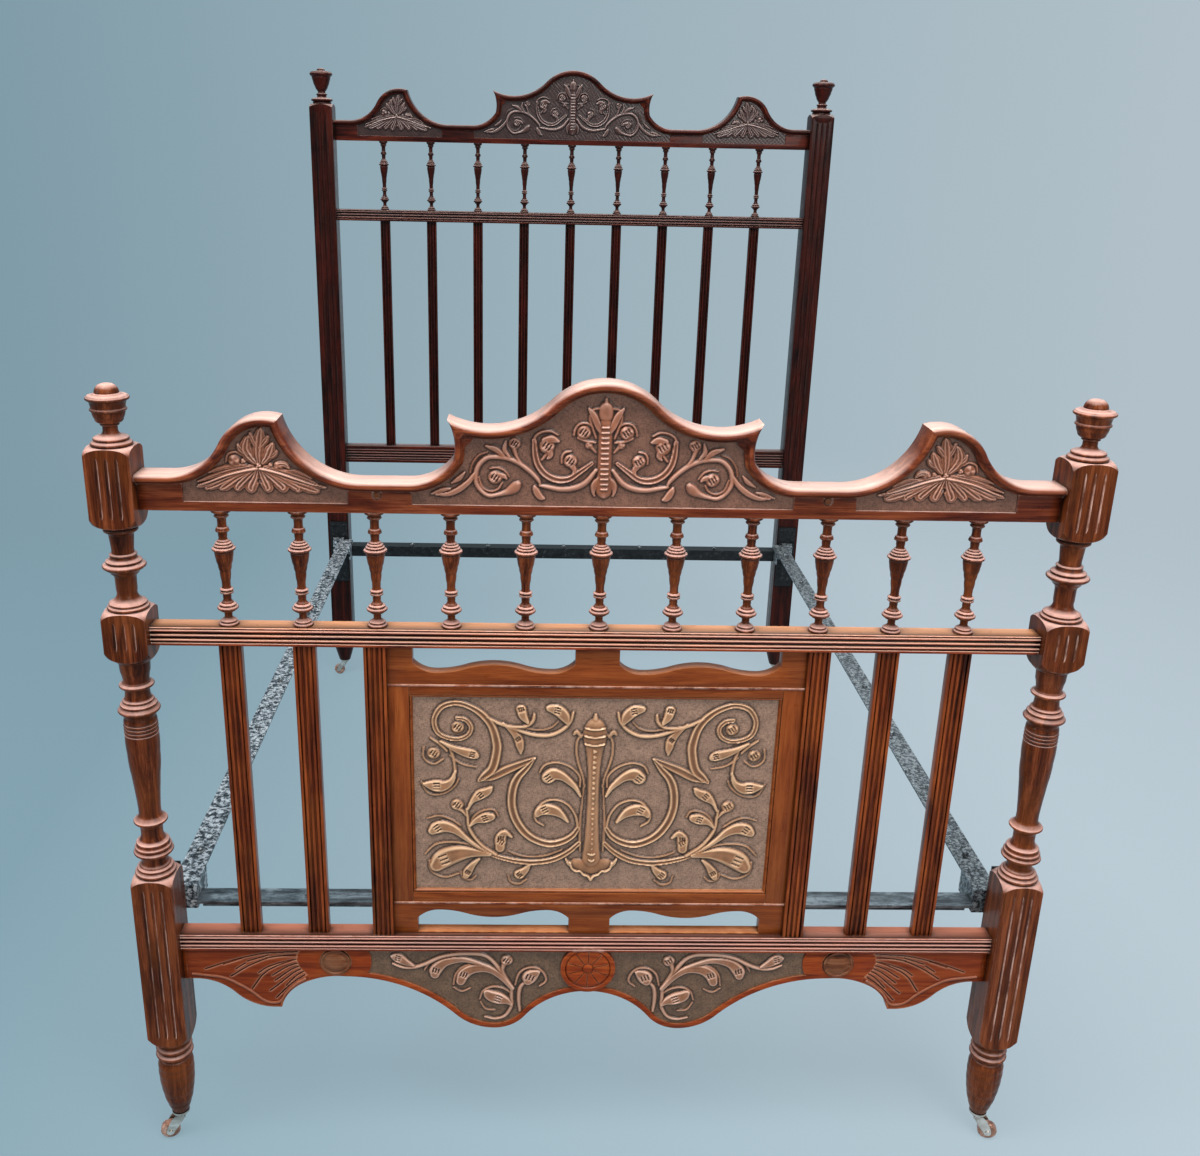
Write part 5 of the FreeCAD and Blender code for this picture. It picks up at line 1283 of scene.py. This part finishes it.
under = [(x, np.interp(x, inner[:, 0], inner[:, 1]) + a["rail"]) for x in np.linspace(-644, -459, 48)]
patch = under + [(np.interp(z, *fanEdge) - 2.5, z) for z in (342, 352, 364, 376, 383.5)] + [(-644, 383.5)]
fanHoles = [[(-side * x, z) for x, z in patch][::-side] for label, side in sides]
face = sawnBoard("footApronFace", [whole, hole] + fanHoles, front, ground + 2, 0.9, angle=30)
roundel = {"x": 409.0, "z": 363.0, "seat": 25.6}
for label, side in sides:
    seat = turnOnLathe("seat", [(-4, roundel["seat"]), (1.4, roundel["seat"])], 48)
    seat.data.transform(shifted(side * roundel["x"], front, roundel["z"]) @ aboutX(-1))
    cutWith(face, seat)
settle(tidyMesh(face, 30), finish["footApron"])
xs, zs = gridLines(-a["field"] - 2, a["field"] + 2, a["rail"] - a["drop"] + 2, a["rail"] - 0.5, 1.35)
bolder = {"leaf": 1.34, "stem": 1.12, "ball": 1.2}
broad = [(kind, lift * 1.1, [(x, z, r * bolder[kind]) for x, z, r in line]) for kind, lift, line in dropStrokes]
height = punched(xs, zs, carvedField(xs, zs, withSlits(broad)), 0.25, (1.7, 1.3, 1.9, 1.1))
keep = insideOutline(xs, zs, [(-999, 999), (999, 999)], [(x, z + a["rail"]) for x, z in tucked])
tile = carvedTile("footApronCarving", xs, zs, height, keep, ground, ground + 2.5)
settle(tile, finish["apronCarving"])

fanCuts = [              # incised lines of the left fan: four pointed blades with finer lines between them
    [(-470, 382), (-504, 380), (-530, 377), (-577, 364), (-619, 348)],
    [(-467, 377), (-511, 371), (-546, 356), (-579, 334)],
    [(-467, 369), (-500, 356), (-526, 339), (-546, 310)],
    [(-457, 339), (-483, 319), (-508, 292)],
    [(-468, 374), (-496, 373), (-521, 369)],
    [(-468, 367), (-487, 364), (-517, 353), (-534, 341)],
    [(-467, 361), (-487, 353), (-512, 336)],
    [(-466, 355), (-483, 346), (-508, 326)],
    [(-465, 349), (-479, 340), (-500, 321), (-517, 306)],
    [(-461, 344), (-475, 334), (-491, 316)],
    [(-517, 375), (-551, 363)],
    [(-555, 359), (-570, 348)],
    [(-560, 368), (-590, 357)],
    [(-463, 386), (-469, 376), (-470, 364), (-466, 352), (-455, 339)],
]
rimLine = [(-640, 339), (-600, 334), (-582, 328), (-560, 314.5), (-545, 303), (-527, 287), (-511, 283), (-500, 288),
           (-489, 305), (-474, 320), (-460, 330)]
fanStrokes = [("stem", -1.8, [(x, z, 1.35) for x, z in line]) for line in fanCuts]
rimStrokes = [("stem", 1.6, [(x, z, 2.6) for x, z in rimLine])]
low = pulledIn(lower[::-1], 2.5)[::-1]
fanTop = 385.5
for label, side in sides:
    xs, zs = gridLines(-648.0, -450.0, 268.0, fanTop, 0.85)
    height = 0.5 + carvedField(xs, zs, fanStrokes, False) + carvedField(xs, zs, rimStrokes, False)
    keep = insideOutline(xs, zs, [(-999, fanTop), (999, fanTop)], [(x, z + a["rail"]) for x, z in low])
    keep &= xs[None, :] < np.interp(zs, *fanEdge)[:, None]
    if side > 0:
        xs, height, keep = -xs[::-1], height[:, ::-1], keep[:, ::-1]
    fan = carvedTile("footApronFan_" + label, xs, zs, height, keep, front + 0.2, front + 11)
    settle(fan, finish["footFan"])
    button = turnOnLathe("roundel", [
        (-4, 24), (2.2, 24), (3.6, 23, 0.2), (3.6, 21.5), (2.4, 20.2, 0.1), (2.0, 18.5), (2.9, 15, 0.05),
        (3.7, 8, 0.04), (3.9, 0.1)], 48, 1.0)
    button.data.transform(shifted(side * roundel["x"], front, roundel["z"]) @ aboutX(1))
    button.name = "footRoundel_" + label
    settle(button, finish["footDisc"])
rosette = turnOnLathe("rosette", [
    (-4, 44.6), (2.4, 44.6), (3.6, 43.6, 0.3), (3.9, 41, 0.1), (3.8, 37.6), (1.6, 36.2), (3.0, 34.6, 0.1),
    (3.6, 28, 0.08), (3.0, 12), (2.6, 9.8), (1.4, 9.0), (2.8, 7.8, 0.1), (3.6, 4, 0.1), (3.9, 0.1)], 80, 0.9)
cuts = []                # thin cuts that part its ten petals
for number in range(10):
    cut = blockOf("cut", 9.6, 34.4, -0.8, 0.8, 1.9, 5.0)
    cut.data.transform(Matrix.Rotation((number + 0.45) * math.pi / 5, 4, "Z"))
    cuts.append(cut)
cutWith(rosette, joined("cuts", cuts))
tidyMesh(rosette, 30)
rosette.data.transform(shifted(0, front, 353.0) @ aboutX(1))
rosette.name = "footRosette"
settle(rosette, finish["footApron"])
print("apron carved")

# irons, screws and studs
nodes = frame["nodes"]


def dress(name, material):
    data = nodes[name].data
    data.materials.clear()
    data.materials.append(material)


for name in nodes:
    if name.startswith("side_iron_") and "studs" not in name:
        dress(name, finish["paleIron" if name.endswith("left") else "greyIron"])
    elif name == "foot_cross_iron":
        dress(name, finish["crossIron"])
    elif "bracket" in name or name == "head_cross_iron":
        dress(name, finish["blackIron"])
    elif name.startswith("castor_wheel"):
        dress(name, finish["castorTread"])
    elif name.startswith("castor"):
        dress(name, finish["castorMetal"])
studShape = [
    (0, 6.4), (1.2, 6.4, 0.3), (1.6, 4.0), (3.4, 3.6), (3.8, 5.2), (5.2, 5.6, 0.3), (6.6, 3.2, 0.15), (7.0, 0.1)]
for node in ("side_iron_studs", "cross_iron_studs"):     # a domed stud at each place of the node's own
    co = np.array([v.co for v in nodes[node].data.vertices])
    spots = {}
    for point in co:
        key = tuple(np.rint(point[:2] / 0.02).astype(int))
        near = [k for k in spots if abs(k[0] - key[0]) <= 1 and abs(k[1] - key[1]) <= 1]
        spots.setdefault(near[0] if near else key, []).append(point)
    master = turnOnLathe("studMaster", studShape, 20, 1.2)
    row = []
    for points in spots.values():
        low, high = np.min(points, axis=0), np.max(points, axis=0)
        middle = (low + high) / 2
        row.append(copied(master, "stud", Matrix.Translation((middle[0], middle[1], low[2]))))
    bpy.data.objects.remove(master)
    print(node, len(row))
    settle(joined(node.title().replace("_", ""), row), finish["greyIron"], [node])

screwShape = [(-1.5, 4.8), (0.4, 4.8), (1.6, 4.0, 0.15), (2.4, 1.8, 0.1), (2.6, 0.1)]
screwHead = turnOnLathe("screwMaster", screwShape, 20, 1.0)
slot = blockOf("slotCutter", -6, 6, -0.5, 0.5, 1.6, 4)
cutWith(screwHead, slot)
for board, y, direction in (("foot", footY + 32.0, 1), ("head", headY - 31.0, -1)):
    for label, side in sides:
        row = []
        for x, z in ((-16, 508), (16, 508), (-16, 478), (16, 478), (-16, 344), (16, 344)):
            turn = aboutX(-direction) @ Matrix.Rotation(0.7 + x * z * 0.013, 4, "Z")
            row.append(copied(screwHead, "screw", shifted(side * 684.0 + x, y + direction * 4.0, z) @ turn))
        settle(joined(board + "BracketScrews_" + label, row), finish["blackIron"])
bpy.data.objects.remove(screwHead)
print("irons and castors finished")

# stage, light and camera
stage = {"shades": ("7b98a5", "9ab0ba", "b1c0c9"), "half": 1.3, "near": 2.1, "far": 4.6, "reach": 0.45,
         "level": 0.26, "glow": 0.84}


def acrossStage(tree, value, half, gain=1.0):
    # left to right, the pale blue grey gets paler
    place = mathOf(tree, "DIVIDE", mathOf(tree, "SUBTRACT", value, -half), 2 * half, clamp=True)
    shades = [scaled(srgb(shade), gain) for shade in stage["shades"]]
    return ramped(tree, place, list(zip((0.0, 0.5, 1.0), shades)))


def splitPlace(tree, output):
    where = addNode(tree, "TexCoord")
    apart = addNode(tree, "SeparateXYZ")
    tree.links.new(where.outputs[output], apart.inputs[0])
    return where.outputs[output], apart.outputs[0]


clearSelection()
bpy.ops.mesh.primitive_plane_add(size=60)
floor = bpy.context.object
floor.name = "studioFloor"
paint, tree, shader = finishTree("floorPaint", 0.9)
where, across = splitPlace(tree, "Object")
tree.links.new(acrossStage(tree, across, stage["half"], stage["level"]), shader.inputs["Base Color"])
tree.links.new(acrossStage(tree, across, stage["half"]), shader.inputs["Emission Color"])
shader.inputs["Emission Strength"].default_value = stage["glow"]
shader.inputs["Specular IOR Level"].default_value = 0.1
distance = addNode(tree, "VectorMath", operation="LENGTH")
tree.links.new(where, distance.inputs[0])
fade = addNode(tree, "MapRange", interpolation_type="SMOOTHSTEP")
tree.links.new(distance.outputs["Value"], fade.inputs["Value"])
fade.inputs["From Min"].default_value = stage["near"]
fade.inputs["From Max"].default_value = stage["far"]
blend = addNode(tree, "MixShader")
clear = addNode(tree, "BsdfTransparent")
tree.links.new(fade.outputs[0], blend.inputs[0])
tree.links.new(shader.outputs[0], blend.inputs[1])
tree.links.new(clear.outputs[0], blend.inputs[2])
tree.links.new(blend.outputs[0], tree.nodes["Material Output"].inputs["Surface"])
floor.data.materials.append(paint)

world = scene.world or bpy.data.worlds.new("studioAir")
scene.world = world
world.use_nodes = True
air = world.node_tree
air.nodes.clear()
seen = addNode(air, "LightPath")
plain = addNode(air, "Background", Color=(0.92, 0.95, 1.0, 1), Strength=0.40)
view = addNode(air, "Background", Strength=1.0)
air.links.new(acrossStage(air, splitPlace(air, "Generated")[1], stage["reach"]), view.inputs["Color"])
choose = addNode(air, "MixShader")
out = addNode(air, "OutputWorld")
looked = mathOf(air, "MAXIMUM", mathOf(air, "MAXIMUM", seen.outputs["Is Camera Ray"], seen.outputs["Is Glossy Ray"]),
                seen.outputs["Is Transmission Ray"])
air.links.new(looked, choose.inputs[0])
air.links.new(plain.outputs[0], choose.inputs[1])
air.links.new(view.outputs[0], choose.inputs[2])
air.links.new(choose.outputs[0], out.inputs["Surface"])


def softLamp(name, place, aim, size, power, shade=(1, 1, 1)):
    lamp = bpy.data.lights.new(name, "AREA")
    lamp.shape = "RECTANGLE"
    lamp.size, lamp.size_y = size
    lamp.energy = power
    lamp.color = shade
    holder = bpy.data.objects.new(name, lamp)
    scene.collection.objects.link(holder)
    holder.location = place
    holder.rotation_euler = (Vector(aim) - Vector(place)).to_track_quat("-Z", "Y").to_euler()


softLamp("overheadPanel", (-0.4, -2.1, 4.3), (0, -0.5, 0.8), (4.4, 1.7), 200, (1.0, 0.98, 0.96))
softLamp("frontPanel", (1.6, -4.6, 2.4), (0, -0.9, 0.7), (2.4, 1.6), 62, (1.0, 0.98, 0.95))
softLamp("leftPanel", (-4.2, -2.2, 2.2), (0, -0.2, 0.8), (1.6, 2.2), 46, (0.97, 0.98, 1.0))
softLamp("backPanel", (0.6, 3.4, 3.8), (0, 0.4, 0.8), (3.4, 1.3), 24, (1.0, 0.98, 0.97))

cameraData = {"place": (-0.1032, -2.6035, 1.6277), "yaw": 0.02574, "pitch": -0.33615, "roll": 0.021173,
              "focal": 1211.62, "centre": (559.02, 562.40), "frame": (1200, 1156), "sensor": 36.0}
c = cameraData
camera = bpy.data.objects.new("photoCamera", bpy.data.cameras.new("photoCamera"))
scene.collection.objects.link(camera)
forward = Vector((math.sin(c["yaw"]) * math.cos(c["pitch"]), math.cos(c["yaw"]) * math.cos(c["pitch"]),
                  math.sin(c["pitch"])))
level = Vector((math.cos(c["yaw"]), -math.sin(c["yaw"]), 0))
up = level.cross(forward)
right = math.cos(c["roll"]) * level + math.sin(c["roll"]) * up
top = -math.sin(c["roll"]) * level + math.cos(c["roll"]) * up
turn = Matrix((right, top, -forward)).transposed().to_4x4()
camera.matrix_world = Matrix.Translation(c["place"]) @ turn
camera.data.sensor_width = c["sensor"]
camera.data.lens = c["focal"] / c["frame"][0] * c["sensor"]
camera.data.shift_x = (c["frame"][0] / 2 - c["centre"][0]) / c["frame"][0]
camera.data.shift_y = (c["centre"][1] - c["frame"][1] / 2) / c["frame"][0]
camera.data.clip_end = 80
scene.camera = camera
scene.view_settings.view_transform = "Standard"
print("stage and camera set")
